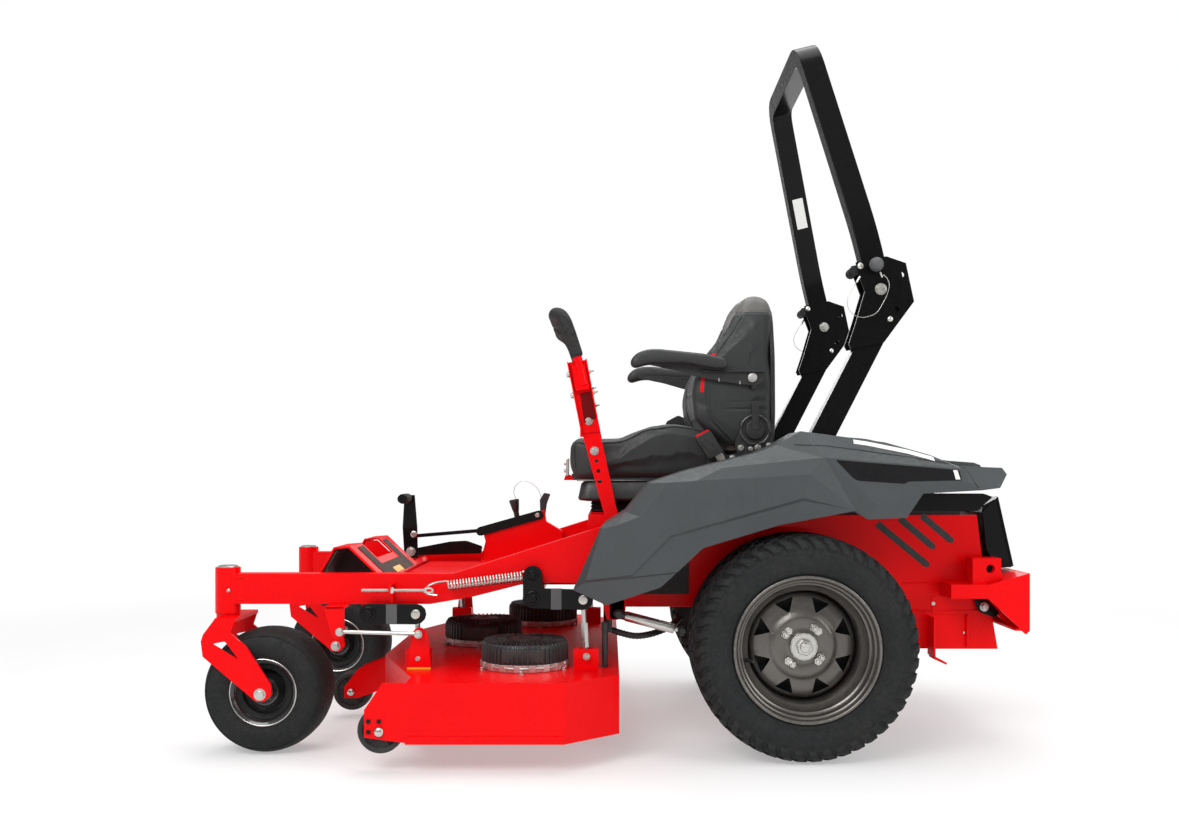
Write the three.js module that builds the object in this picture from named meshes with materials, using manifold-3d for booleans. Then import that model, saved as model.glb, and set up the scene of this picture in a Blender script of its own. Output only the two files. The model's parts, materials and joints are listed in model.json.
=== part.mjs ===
// Zero turn mower: a ride-on electric mower with a mid-mounted three-blade deck.
// Millimetres, +Z up, the front of the machine towards -X, the driver's left towards -Y.
// Heights are above the ground. Lateral stations are measured from the machine's centre plane,
// and the whole machine is shifted sideways at the end so that its bounding box is centred.

import * as THREE from "three";
import { mergeVertices } from "three/addons/utils/BufferGeometryUtils.js";
import Module from "manifold-3d";

// ---------------------------------------------------------------- driving dimensions
const GAP = 0.3; // gap between touching pieces
const TURNING_GAP = 0.6; // radial clearance of a turning shaft
const CENTRE_Y = -140; // shift of the centre plane, because the discharge chute hangs out right

const RAIL_INNER = 388;
const RAIL_OUTER = 438;
const RAIL_TOP = 474;
const RAIL_BOTTOM = 393;
const RAIL_RISE_TOP = 602;

const CASTER_Y = 413;
const CASTER_PIVOT_X = -1058;
const CASTER_TRAIL = 115;
const CASTER_TYRE_RADIUS = 165;
const CASTER_TYRE_WIDTH = 165;
const CASTER_RIM_RADIUS = 78;
const CASTER_AXLE_RADIUS = 9.5;
const CASTER_PLATE_Y = 90; // fork plates, from the wheel's mid plane
const BARREL_TOP = 490;
const BARREL_BOTTOM = 367;
const BARREL_RADIUS = 33;
const STEM_RADIUS = 15;

const REAR_AXLE_X = 474;
const REAR_AXLE_Z = 293;
const REAR_TYRE_RADIUS = 293;
const REAR_TYRE_INNER_Y = 315;
const REAR_TYRE_OUTER_Y = 605;
const RIM_FLANGE_RADIUS = 189;
const RIM_DISC_Y = 509; // outer face of the rim's disc
const HUB_BOLT_RADIUS = 55;

const FRAME_PLATE_OUTER = 290;
const FRAME_PLATE_INNER = 284;
const PLATFORM_Z = 626;

const DECK_TOP = 226;
const DECK_BOTTOM = 75;
const DECK_SHEET = 5;
const DECK_SIDE_Y = 678;
const SPINDLE_Y = 430;
const SIDE_SPINDLE_X = -257;
const CENTRE_SPINDLE_X = -414;
const BLADE_RADIUS = 226;
const BLADE_Z = 95;
const MOTOR_RADIUS = 116;
const MOTOR_SPLIT_Z = 248;
const MOTOR_TOP_Z = 302;

const FRONT_SHAFT = { x: -667, z: 371 };
const REAR_SHAFT = { x: -233, z: 412 };
const FRONT_ARM_TIP = { x: -542, z: 370 };
const REAR_ARM_TIP = { x: -100, z: 408 };
const SPRING_PIN = { x: -233, z: 473 };
const LIFT_SHAFT_RADIUS = 16;
const ARM_INNER_Y = 464;
const ARM_OUTER_Y = 472;
const LINK_Y = 453;

const PEDAL_Y = 336; // outer face of the pedal's plate
const PEDAL_PIVOT = { x: -694, z: 478 };
const PEDAL_LINK_Z = 530;

const LEVER_INNER_Y = 297;
const LEVER_OUTER_Y = 305;
const LEVER_PIVOT = { x: -20, z: 600 };
const SWING_PIVOT_Z = 866;
const GRIP_RADIUS = 18;

const SEAT_HALF = 236;
const ARMREST_INNER_Y = 246;
const ARMREST_OUTER_Y = 290;
const ARMREST_PIVOT = { x: 376, z: 1014 };
const RECLINE_PIVOT = { x: 384, z: 866 };

const ROPS_Y = 400;
const ROPS_WIDTH = 50;
const ROPS_DEPTH = 63;
const ROPS_TOP_Y = 262;
const ROPS_PIVOT = { x: 697, z: 1236 };
const ROPS_LEAN = THREE.MathUtils.degToRad(13.6);
const ROPS_HEIGHT = 722; // from the fold pivot to the middle of the top bar
const BRACKET_SHEET = 7;

// ---------------------------------------------------------------- materials
function finish(color, roughness, metalness) {
  return new THREE.MeshStandardMaterial({ color, roughness, metalness });
}

const RED = finish(0xc8101a, 0.35, 0.1);
const BLACK_PAINT = finish(0x101112, 0.35, 0.2);
const FENDER_GREY = finish(0x43474a, 0.65, 0);
const MOTOR_BLACK = finish(0x161616, 0.6, 0);
const CAST_ALUMINIUM = finish(0xb9bab8, 0.5, 0.8);
const STEEL = finish(0xb5b5b2, 0.35, 1);
const RIM_GREY = finish(0x5a5754, 0.4, 0.7);
const TYRE = finish(0x1b1b1b, 0.85, 0);
const VINYL = finish(0x26282a, 0.6, 0);
const FOAM = finish(0x1c1c1c, 0.9, 0);

// ---------------------------------------------------------------- solids
const wasm = await Module();
wasm.setup();

function solid(geometry) {
  const bare = geometry.clone();
  bare.deleteAttribute("normal");
  bare.deleteAttribute("uv");
  const merged = mergeVertices(bare, 1e-3);
  const vertProperties = new Float32Array(merged.attributes.position.array);
  const triVerts = new Uint32Array(merged.index.array);
  return new wasm.Manifold(new wasm.Mesh({ numProp: 3, vertProperties, triVerts }));
}

function geometryOf(body) {
  const mesh = body.getMesh();
  const geometry = new THREE.BufferGeometry();
  const corners = new THREE.BufferAttribute(new Float32Array(mesh.vertProperties), 3);
  geometry.setAttribute("position", corners);
  geometry.setIndex(new THREE.BufferAttribute(new Uint32Array(mesh.triVerts), 1));
  return geometry;
}

function join(...bodies) {
  return bodies.reduce((all, body) => all.add(body));
}

function cut(body, ...tools) {
  return tools.reduce((rest, tool) => rest.subtract(tool), body);
}

function moved(geometry, x, y, z) {
  return geometry.translate(x, y, z);
}

// A flat outline as a shape. The points are [a, b] pairs.
function shapeOf(points) {
  return new THREE.Shape(points.map(([a, b]) => new THREE.Vector2(a, b)));
}

// A side outline of [x, z] points, thickened from one lateral station to another.
function sidePlate(points, yFrom, yTo) {
  const depth = Math.abs(yTo - yFrom);
  const geometry = new THREE.ExtrudeGeometry(shapeOf(points), { depth, bevelEnabled: false });
  geometry.rotateX(Math.PI / 2);
  return solid(moved(geometry, 0, Math.max(yFrom, yTo), 0));
}

// A plan outline of [x, y] points, thickened from one height to another.
function planPlate(points, zFrom, zTo) {
  const settings = { depth: zTo - zFrom, bevelEnabled: false };
  const geometry = new THREE.ExtrudeGeometry(shapeOf(points), settings);
  return solid(moved(geometry, 0, 0, zFrom));
}

function box(low, high) {
  const size = high.map((value, i) => value - low[i]);
  const centre = high.map((value, i) => (value + low[i]) / 2);
  return solid(moved(new THREE.BoxGeometry(...size), ...centre));
}

// Round bars along Y and along Z.
function barY(at, radius, yFrom, yTo, sides = 16) {
  const geometry = new THREE.CylinderGeometry(radius, radius, Math.abs(yTo - yFrom), sides);
  return solid(moved(geometry, at.x, (yFrom + yTo) / 2, at.z));
}

function barZ(x, y, radius, zFrom, zTo, sides = 16) {
  const geometry = new THREE.CylinderGeometry(radius, radius, zTo - zFrom, sides);
  geometry.rotateX(Math.PI / 2);
  return solid(moved(geometry, x, y, (zFrom + zTo) / 2));
}

// A closed profile of [radius, station] points turned about the Y axis.
function turned(points, segments) {
  const profile = points.map(([r, y]) => new THREE.Vector2(r, y));
  return new THREE.LatheGeometry([...profile, profile[0]], segments);
}

// Points along a path whose corners are rounded, as a list of [a, b] pairs.
function rounded(points, radius, steps) {
  const path = [points[0]];
  for (let i = 1; i < points.length - 1; i += 1) {
    const corner = new THREE.Vector2(...points[i]);
    const before = new THREE.Vector2(...points[i - 1]).sub(corner);
    const after = new THREE.Vector2(...points[i + 1]).sub(corner);
    const start = corner.clone().add(before.setLength(radius));
    const end = corner.clone().add(after.setLength(radius));
    const bend = new THREE.QuadraticBezierCurve(start, corner, end);
    path.push(...bend.getPoints(steps).map((p) => [p.x, p.y]));
  }
  return [...path, points[points.length - 1]];
}

// The closed outline of a band of even width that follows a path, with mitred corners.
function ribbon(path, width) {
  const normals = path.slice(1).map(([a, b], i) => {
    const [a0, b0] = path[i];
    const length = Math.hypot(a - a0, b - b0);
    return [(b0 - b) / length, (a - a0) / length];
  });
  const left = [];
  const right = [];
  path.forEach(([a, b], i) => {
    const before = normals[Math.max(i - 1, 0)];
    const after = normals[Math.min(i, normals.length - 1)];
    const reach = width / 2 / (1 + before[0] * after[0] + before[1] * after[1]);
    const da = (before[0] + after[0]) * reach;
    const db = (before[1] + after[1]) * reach;
    left.push([a + da, b + db]);
    right.unshift([a - da, b - db]);
  });
  return [...left, ...right];
}

// A flat bar with round ends between two [x, z] places.
function strap(from, to, radius, yFrom, yTo) {
  const along = Math.atan2(to.z - from.z, to.x - from.x);
  const outline = [];
  const steps = 6;
  for (let i = 0; i <= steps; i += 1) {
    const angle = along - Math.PI / 2 + (Math.PI * i) / steps;
    outline.push([to.x + radius * Math.cos(angle), to.z + radius * Math.sin(angle)]);
  }
  for (let i = 0; i <= steps; i += 1) {
    const angle = along + Math.PI / 2 + (Math.PI * i) / steps;
    outline.push([from.x + radius * Math.cos(angle), from.z + radius * Math.sin(angle)]);
  }
  return sidePlate(outline, yFrom, yTo);
}

// A round tube that follows smooth curve points.
function tube(points, radius, sides, steps) {
  const curve = new THREE.CatmullRomCurve3(points, false, "centripetal");
  const section = [];
  for (let i = 0; i < sides; i += 1) {
    const angle = (2 * Math.PI * i) / sides;
    section.push([radius * Math.cos(angle), radius * Math.sin(angle)]);
  }
  const settings = { steps, extrudePath: curve, bevelEnabled: false };
  return solid(new THREE.ExtrudeGeometry(shapeOf(section), settings));
}

// ---------------------------------------------------------------- the machine
const mower = new THREE.Group();
mower.position.y = CENTRE_Y;

function add(name, geometry, material, place = [0, 0, 0]) {
  const mesh = new THREE.Mesh(geometry, material);
  mesh.name = name;
  mesh.position.set(...place);
  mower.add(mesh);
}

function addSolid(name, body, material, place) {
  add(name, geometryOf(body), material, place);
}

const SIDES = [
  { side: -1, label: "left" },
  { side: 1, label: "right" },
];

// Front rails: a level box beam that climbs to the seat frame, with the caster barrel in front,
// ears under it for the two lift shafts and a gusset in front of the rear wheel.
function frameRail(side) {
  const outline = [
    [-1040, RAIL_BOTTOM],
    [-510, RAIL_BOTTOM],
    [-398, 412],
    [-240, 452],
    [-60, 445],
    [-38, 352],
    [5, 352],
    [20, 455],
    [110, 470],
    [110, RAIL_RISE_TOP],
    [-43, RAIL_RISE_TOP],
    [-449, RAIL_TOP],
    [-1040, RAIL_TOP],
  ];
  const beam = sidePlate(outline, side * RAIL_INNER, side * RAIL_OUTER);
  const barrel = barZ(CASTER_PIVOT_X, side * CASTER_Y, BARREL_RADIUS, BARREL_BOTTOM, BARREL_TOP);
  const boreRadius = STEM_RADIUS + TURNING_GAP;
  const stemBore = barZ(CASTER_PIVOT_X, side * CASTER_Y, boreRadius, 300, 600);
  const shaftBore = LIFT_SHAFT_RADIUS + TURNING_GAP;
  const earInner = side * (RAIL_INNER + 15);
  const earOuter = side * (RAIL_OUTER - 15);
  const frontEar = strap(FRONT_SHAFT, { x: FRONT_SHAFT.x, z: 410 }, 28, earInner, earOuter);
  const rearEar = strap(REAR_SHAFT, { x: REAR_SHAFT.x, z: 470 }, 28, earInner, earOuter);
  const frontBore = barY(FRONT_SHAFT, shaftBore, side * 300, side * 500);
  const rearBore = barY(REAR_SHAFT, shaftBore, side * 300, side * 500);
  const body = join(beam, barrel, frontEar, rearEar);
  return cut(body, stemBore, frontBore, rearBore);
}

// A folded sheet arch behind the casters, with an opening through its crown; it stops short of the pedal.
function footRamp() {
  const edge = RAIL_INNER - GAP;
  const profile = [
    [-832, 446],
    [-778, 539],
    [-739, 542],
    [-641, 449],
  ];
  const sheet = sidePlate(ribbon(profile, DECK_SHEET), -edge, edge);
  const crownOpening = box([-860, -230, 430], [-694, 5, 600]);
  const pedalSide = box([-860, 155, 462], [-600, RAIL_INNER, 600]);
  return cut(sheet, crownOpening, pedalSide);
}

// The driver's foot floor, with the height-of-cut console standing on its right side.
function floorPan() {
  const edge = RAIL_INNER - GAP;
  const floor = box([-635, -edge, 440], [-70, edge, 445]);
  const console = [
    [-465, 442],
    [-446, 513],
    [-454, 541],
    [-248, 619],
    [-243, 580],
    [-187, 547],
    [-187, 442],
  ];
  return join(floor, sidePlate(console, PEDAL_Y + 9, edge));
}

// Foot pedal that lifts the deck: a bent plate with a round foot bar on top.
function liftPedal() {
  const arm = [
    [-716, 458],
    [-671, 458],
    [-673, 560],
    [-682, 669],
    [-716, 669],
    [-722, 560],
  ];
  const inner = PEDAL_Y - 6;
  const plate = sidePlate(arm, inner, PEDAL_Y);
  const pad = barY({ x: -708, z: 658 }, 15, inner - 90, PEDAL_Y);
  return join(plate, pad);
}

// Rod and slotted bar that carry the pedal's stroke back to the height stop.
function pedalLink() {
  const rodInner = PEDAL_Y + GAP;
  const rodOuter = PEDAL_Y + 7;
  const front = { x: PEDAL_PIVOT.x - 6, z: PEDAL_LINK_Z };
  const eye = strap(front, { x: front.x + 1, z: front.z }, 16, rodInner, rodOuter);
  const rod = strap({ x: -700, z: PEDAL_LINK_Z }, { x: -470, z: 549 }, 6, rodInner, rodOuter);
  const bar = strap({ x: -462, z: 547 }, { x: -266, z: 602 }, 15, rodInner, rodOuter);
  return join(eye, rod, bar);
}

// Rear frame: two side plates, the seat platform, cross members and feet for the roll bar.
function rearFrame() {
  const outline = [
    [-90, 560],
    [-20, 368],
    [330, 368],
    [400, 215],
    [560, 215],
    [620, 330],
    [873, 330],
    [873, 250],
    [1059, 250],
    [1014, 513],
    [1000, PLATFORM_Z],
    [-90, PLATFORM_Z],
  ];
  const inner = FRAME_PLATE_INNER;
  const outer = FRAME_PLATE_OUTER;
  const pieces = [box([-90, -outer, PLATFORM_Z - 8], [340, outer, PLATFORM_Z])];
  pieces.push(box([-84, -170, PLATFORM_Z - 1], [250, 170, PLATFORM_Z + 3]));
  pieces.push(box([40, -(RAIL_INNER - GAP), 500], [100, RAIL_INNER - GAP, 560]));
  pieces.push(box([600, -outer, 338], [640, outer, 378]));
  pieces.push(box([900, -outer, 338], [940, outer, 378]));
  for (const { side } of SIDES) {
    pieces.push(sidePlate(outline, side * inner, side * outer));
    const low = Math.min(side * inner, side * 432);
    const high = Math.max(side * inner, side * 432);
    pieces.push(box([392, low, 598], [500, high, 636]));
  }
  const shaftHole = barY({ x: REAR_AXLE_X, z: REAR_AXLE_Z }, 40, -320, 320);
  return cut(join(...pieces), shaftHole);
}

// Rear bumper: a pressed rear plate with side wings, end gussets and tie-down tabs.
function rearBumper() {
  const back = 1108;
  const inner = FRAME_PLATE_OUTER + GAP;
  const outer = 400;
  const gusset = [
    [997, 403],
    [1097, 306],
    [back, 316],
    [back, 472],
    [997, 441],
  ];
  const sheet = 6;
  const topSheet = [
    [1040, 446.5],
    [1040, 453],
    [back, 472],
    [back, 465],
  ];
  const pieces = [box([back - sheet, -outer, 316], [back, outer, 471])];
  pieces.push(sidePlate(topSheet, -outer, outer));
  pieces.push(box([back - 40, -outer, 316], [back, outer, 322]));
  for (const { side } of SIDES) {
    const ends = [side * inner, side * outer];
    const low = Math.min(...ends);
    const high = Math.max(...ends);
    pieces.push(box([895, low, 403], [1000, high, 441]));
    pieces.push(sidePlate(gusset, side * (outer - sheet), side * outer));
    pieces.push(sidePlate(gusset, side * inner, side * (inner + sheet)));
    const tabLow = Math.min(side * 306, side * 366);
    const tab = box([964, tabLow, 440], [1042, tabLow + 60, 510]);
    pieces.push(cut(tab, barY({ x: 1013, z: 481 }, 12, side * 290, side * 400)));
  }
  return join(...pieces);
}

// Battery pack under the rear hood.
function batteryPack() {
  const half = FRAME_PLATE_INNER - 10;
  const lower = box([560, -half, 386], [1000, half, 480]);
  const upper = box([560, -half, 479], [960, half, 680]);
  return join(lower, upper);
}

// Drive unit: motor can, reduction gearbox and brake housing on the axle line.
function driveUnit(side) {
  const axle = { x: REAR_AXLE_X, z: REAR_AXLE_Z };
  const gearbox = barY(axle, 74, side * 200, side * 281, 20);
  const motor = barY(axle, 62, side * 24, side * 201, 20);
  const foot = box(
    [axle.x - 60, Math.min(side * 205, side * 275), 300],
    [axle.x + 60, Math.max(side * 205, side * 275), 384],
  );
  return join(gearbox, motor, foot);
}

// Shell over the rear wheel: a side wall and a top skin, open below and towards the middle.
function fender(side) {
  const skin = 5;
  const outer = 575;
  const inner = 312;
  const top = [
    [-124, 441],
    [-46, 605],
    [12, 643],
    [73, 718],
    [174, 751],
    [356, 797],
    [404, 816],
    [469, 854],
    [690, 824],
    [805, 791],
    [876, 760],
    [986, 757],
    [997, 740],
    [977, 705],
  ];
  const lower = [
    [776, 692],
    [734, 628],
    [597, 645],
    [407, 610],
    [210, 551],
    [102, 450],
    [-38, 403],
  ];
  const shell = sidePlate([...top, ...lower], side * inner, side * outer);
  const hollowTop = top.slice(0, 12).map(([x, z]) => [x + skin, z - skin - 1]);
  const hollow = [...hollowTop, [990, 740], [990, 300], [-119, 300]];
  const inside = sidePlate(hollow, side * (inner - 5), side * (outer - skin));
  const postHole = sidePlate(ropsPostOutline(8), side * 366, side * 434);
  const notchEnds = [side * (inner - 5), side * (ARM_OUTER_Y + 8)];
  const railNotch = box([-140, Math.min(...notchEnds), 380], [118, Math.max(...notchEnds), 608]);
  return cut(shell, inside, postHole, railNotch);
}

// Slanted cover at the back, between the side plates and over the bumper.
function rearPanel() {
  const profile = [
    [1016, 630],
    [1061, 672],
    [1103, 484],
    [1052, 478],
  ];
  return sidePlate(ribbon(profile, 6), -(FRAME_PLATE_INNER - 2), FRAME_PLATE_INNER - 2);
}

// Side outline of the slanted roll bar post, grown by a margin.
function ropsPostOutline(margin) {
  const foot = { x: 437, z: 636 + GAP };
  const head = { x: 676, z: 1104 };
  const lean = Math.atan2(head.x - foot.x, head.z - foot.z);
  const half = (ROPS_DEPTH / 2 + margin) / Math.cos(lean);
  return [
    [foot.x - half, foot.z],
    [foot.x + half, foot.z],
    [head.x + half, head.z],
    [head.x - half, head.z],
  ];
}

// Roll bar post with the pair of bracket plates that hold the folding hoop.
function ropsPost(side) {
  const bracket = [
    [617, 1077],
    [706, 1094],
    [786, 1203],
    [764, 1306],
    [712, 1324],
    [630, 1308],
    [637, 1276],
    [654, 1230],
    [630, 1147],
    [611, 1089],
  ];
  const near = ROPS_WIDTH / 2;
  const pieces = [sidePlate(ropsPostOutline(0), side * (ROPS_Y - near), side * (ROPS_Y + near))];
  for (const face of [-1, 1]) {
    const from = side * ROPS_Y + face * near;
    const to = from + face * BRACKET_SHEET;
    pieces.push(sidePlate(bracket, from, to));
  }
  return join(...pieces);
}

// Folding hoop: one bent box section, drawn flat and then leaned forward.
function ropsHoop() {
  const legY = ROPS_Y;
  const low = -34;
  const straight = 165;
  const path = rounded(
    [
      [-legY, low],
      [-legY, straight],
      [-ROPS_TOP_Y, ROPS_HEIGHT],
      [ROPS_TOP_Y, ROPS_HEIGHT],
      [legY, straight],
      [legY, low],
    ],
    62,
    5,
  );
  const width = ROPS_WIDTH - 2 * GAP;
  const settings = { depth: ROPS_DEPTH, bevelEnabled: false };
  const geometry = new THREE.ExtrudeGeometry(shapeOf(ribbon(path, width)), settings);
  geometry.translate(0, 0, -ROPS_DEPTH / 2);
  geometry.rotateX(Math.PI / 2);
  geometry.rotateZ(Math.PI / 2);
  geometry.rotateY(-ROPS_LEAN);
  return solid(moved(geometry, ROPS_PIVOT.x, 0, ROPS_PIVOT.z));
}

// Hitch pin with a ball knob that locks the hoop upright.
function ropsPin(side) {
  const at = { x: 677, z: 1296 };
  const face = ROPS_Y + ROPS_WIDTH / 2 + BRACKET_SHEET + GAP;
  const knobY = side * (face + 34);
  const knob = moved(new THREE.SphereGeometry(19, 10, 7), at.x, knobY, at.z);
  return join(solid(knob), barY(at, 7, side * face, knobY, 8));
}

// Cover over the battery, hinged along its back edge.
function rearHood() {
  const edge = 296;
  const top = [
    [530, 848],
    [690, 836],
    [805, 806],
    [900, 776],
    [1008, 768],
    [1024, 712],
  ];
  const skin = sidePlate(ribbon(rounded(top, 20, 2), 6), -edge, edge);
  const lid = [
    [531, 845],
    [690, 833],
    [805, 803],
    [900, 773],
    [1007, 765],
    [1018, 712],
    [900, 700],
    [531, 800],
  ];
  const cheeks = [-1, 1].map((side) => sidePlate(lid, side * (edge - 6), side * edge));
  return join(skin, ...cheeks);
}

// Front caster fork: stem, top plate, two bent side plates and the wheel's axle.
function casterFork(side) {
  const axle = { x: CASTER_PIVOT_X + CASTER_TRAIL, z: CASTER_TYRE_RADIUS };
  const cheek = [
    [-1061, 362],
    [-1091, 322],
    [-1097, 304],
    [-1092, 264],
    [-955, 148],
    [-932, 146],
    [-912, 165],
    [-914, 190],
    [-980, 292],
    [-1019, 324],
    [-1007, 362],
  ];
  const middle = side * CASTER_Y;
  const crown = [
    [-1061, 354],
    [-1061, 364],
    [-1007, 364],
    [-1007, 354],
  ];
  const half = CASTER_PLATE_Y + 8;
  const pieces = [sidePlate(crown, middle - half, middle + half)];
  const step = 8;
  pieces.push(barZ(CASTER_PIVOT_X, middle, 30, 352, BARREL_BOTTOM - GAP));
  pieces.push(barZ(CASTER_PIVOT_X, middle, STEM_RADIUS, 352, BARREL_TOP - 4));
  for (const face of [-1, 1]) {
    const from = middle + face * CASTER_PLATE_Y;
    pieces.push(sidePlate(cheek, from, from + face * step));
  }
  pieces.push(barY(axle, CASTER_AXLE_RADIUS, middle - half - 6, middle + half + 6, 16));
  return join(...pieces);
}

function casterTyre() {
  const half = CASTER_TYRE_WIDTH / 2;
  const r = CASTER_TYRE_RADIUS;
  const bead = CASTER_RIM_RADIUS + 2 + GAP;
  const profile = [
    [bead, -half + 20],
    [bead + 26, -half],
    [r - 22, -half + 8],
    [r, -half + 44],
    [r, half - 44],
    [r - 22, half - 8],
    [bead + 26, half],
    [bead, half - 20],
  ];
  return solid(turned(profile, 24));
}

function casterRim() {
  const half = CASTER_TYRE_WIDTH / 2 - 16;
  const r = CASTER_RIM_RADIUS;
  const profile = [
    [CASTER_AXLE_RADIUS + GAP, -84],
    [28, -84],
    [28, -30],
    [r - 14, -26],
    [r - 10, -half],
    [r + 2, -half],
    [r + 2, half],
    [r - 10, half],
    [r - 14, 26],
    [28, 30],
    [28, 84],
    [CASTER_AXLE_RADIUS + GAP, 84],
  ];
  return solid(turned(profile, 24));
}

// The rear wheels are drawn with their outer side towards +Y, about their own mid plane.
const REAR_HALF = (REAR_TYRE_OUTER_Y - REAR_TYRE_INNER_Y) / 2;
const REAR_MID_Y = (REAR_TYRE_OUTER_Y + REAR_TYRE_INNER_Y) / 2;

function rearTyre() {
  const half = REAR_HALF;
  const r = REAR_TYRE_RADIUS;
  const bead = RIM_FLANGE_RADIUS + GAP;
  const profile = [
    [bead, -half + 16],
    [bead + 40, -half],
    [r - 22, -half + 10],
    [r, -half + 56],
    [r, half - 56],
    [r - 22, half - 10],
    [bead + 40, half],
    [bead, half - 16],
  ];
  return solid(turned(profile, 36));
}

function rearRim(outwards) {
  const edge = REAR_HALF - 12;
  const face = RIM_DISC_Y - REAR_MID_Y;
  const r = RIM_FLANGE_RADIUS;
  const profile = [
    [38, face - 6],
    [90, face - 6],
    [118, face + 10],
    [154, face - 8],
    [154, -edge + 20],
    [r - 8, -edge],
    [r, -edge],
    [r, edge],
    [r - 8, edge],
    [162, edge - 24],
    [154, face + 4],
    [118, face + 17],
    [90, face],
    [38, face],
  ];
  const dish = solid(turned(profile, 36));
  const windows = [];
  const count = 8;
  for (let i = 0; i < count; i += 1) {
    const window = sidePlate([[-3, 92], [3, 92], [19, 122], [13, 128], [-13, 128], [-19, 122]], -90, 160);
    windows.push(window.rotate([0, (360 * (i + 0.5)) / count, 0]));
  }
  const studHoles = [];
  for (let i = 0; i < 4; i += 1) {
    const angle = Math.PI / 4 + (Math.PI * i) / 2;
    const at = { x: HUB_BOLT_RADIUS * Math.cos(angle), z: HUB_BOLT_RADIUS * Math.sin(angle) };
    studHoles.push(barY(at, 7, -90, 160, 8));
  }
  const rim = cut(dish, ...windows, ...studHoles);
  return outwards > 0 ? rim : rim.rotate([0, 0, 180]);
}

// Wheel hub: drive flange, output shaft, four studs with nuts and the hub nose.
function wheelHub(side) {
  const face = RIM_DISC_Y;
  const axle = { x: REAR_AXLE_X, z: REAR_AXLE_Z };
  const pieces = [barY(axle, 72, side * (face - 18), side * (face - 6 - GAP), 20)];
  pieces.push(barY(axle, 24, side * 282, side * (face - 10)));
  pieces.push(barY(axle, 36, side * (face - 10), side * (face + 22)));
  for (let i = 0; i < 4; i += 1) {
    const angle = Math.PI / 4 + (Math.PI * i) / 2;
    const at = {
      x: axle.x + HUB_BOLT_RADIUS * Math.cos(angle),
      z: axle.z + HUB_BOLT_RADIUS * Math.sin(angle),
    };
    pieces.push(barY(at, 6, side * (face - 10), side * (face + 20), 8));
    pieces.push(barY(at, 11, side * (face + GAP), side * (face + 14), 6));
  }
  return join(...pieces);
}

// Deck shell: top sheet, skirt, bottom band, discharge mouth, lift brackets, roller brackets.
function deckShell() {
  const outline = [
    [-533, -DECK_SIDE_Y],
    [-140, -DECK_SIDE_Y],
    [-5, -560],
    [-5, 560],
    [-140, DECK_SIDE_Y],
    [-533, DECK_SIDE_Y],
    [-533, 600],
    [-668, 240],
    [-668, -240],
    [-533, -600],
  ];
  const inward = outline.map(([x, y]) => [x + (x < -200 ? DECK_SHEET : -DECK_SHEET), y * 0.992]);
  const shell = planPlate(outline, DECK_BOTTOM, DECK_TOP);
  const hollow = planPlate(inward, DECK_BOTTOM - 10, DECK_TOP - DECK_SHEET);
  const mouth = box([-520, 600, DECK_BOTTOM + 12], [-150, 720, DECK_TOP - 18]);
  const spindleHoles = SPINDLES.map(({ x, y }) => barZ(x, y, 24, 200, 260));
  const pan = cut(shell, hollow, mouth, ...spindleHoles);
  const pieces = [pan];
  pieces.push(box([-534, -DECK_SIDE_Y - 3, DECK_BOTTOM], [-140, -DECK_SIDE_Y + 1, 95]));
  for (const { side } of SIDES) {
    for (const x of [-537, -92]) {
      const low = Math.min(side * 438, side * 470);
      const bracket = box([x - 33, low, DECK_TOP - 1], [x + 33, low + 32, DECK_TOP + 52]);
      const slotLow = Math.min(side * 442, side * 464);
      const slot = box([x - 18, slotLow, DECK_TOP + 8], [x + 18, slotLow + 22, DECK_TOP + 60]);
      pieces.push(cut(bracket, slot));
    }
    pieces.push(rollerBracket(side));
  }
  for (const y of [-34, 34]) {
    const ear = [
      [-660, 110],
      [-660, 200],
      [-790, 150],
      [-832, 96],
      [-832, 62],
      [-790, 62],
    ];
    pieces.push(sidePlate(ear, y - 3, y + 3));
  }
  pieces.push(barY(CENTRE_ROLLER, 6, -37, 37, 12));
  return join(...pieces);
}

// Corner bracket that carries a side roller: a plate beside the deck with the roller's bolt.
function rollerBracket(side) {
  const plate = [
    [-635, 92],
    [-530, 78],
    [-530, DECK_TOP],
    [-590, DECK_TOP],
    [-635, 160],
  ];
  const outer = side * DECK_SIDE_Y;
  const body = sidePlate(plate, outer, outer - side * 6);
  return join(body, barY(SIDE_ROLLER, 6, outer - side * 2, side * (SIDE_ROLLER_Y - 30), 12));
}

const SPINDLES = [
  { x: SIDE_SPINDLE_X, y: -SPINDLE_Y, label: "left" },
  { x: CENTRE_SPINDLE_X, y: 0, label: "centre" },
  { x: SIDE_SPINDLE_X, y: SPINDLE_Y, label: "right" },
];
const SIDE_ROLLER = { x: -598, z: 106 };
const SIDE_ROLLER_Y = 645;
const CENTRE_ROLLER = { x: -812, z: 80 };

// Blade motor: cast base and finned cap, drawn about its own axis.
function bladeMotor() {
  const base = barZ(0, 0, MOTOR_RADIUS + 3, DECK_TOP + GAP, MOTOR_SPLIT_Z, 24);
  const profile = [
    [0, MOTOR_SPLIT_Z - 1],
    [MOTOR_RADIUS, MOTOR_SPLIT_Z - 1],
    [MOTOR_RADIUS, MOTOR_TOP_Z - 12],
    [MOTOR_RADIUS - 12, MOTOR_TOP_Z],
    [0, MOTOR_TOP_Z],
  ];
  return join(base, upright(profile, 24));
}

// A profile of [radius, height] points that starts and ends on the axis, turned about Z.
function upright(points, segments) {
  const profile = points.map(([r, z]) => new THREE.Vector2(r, z));
  const geometry = new THREE.LatheGeometry(profile, segments);
  geometry.rotateX(Math.PI / 2);
  return solid(geometry);
}

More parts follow.
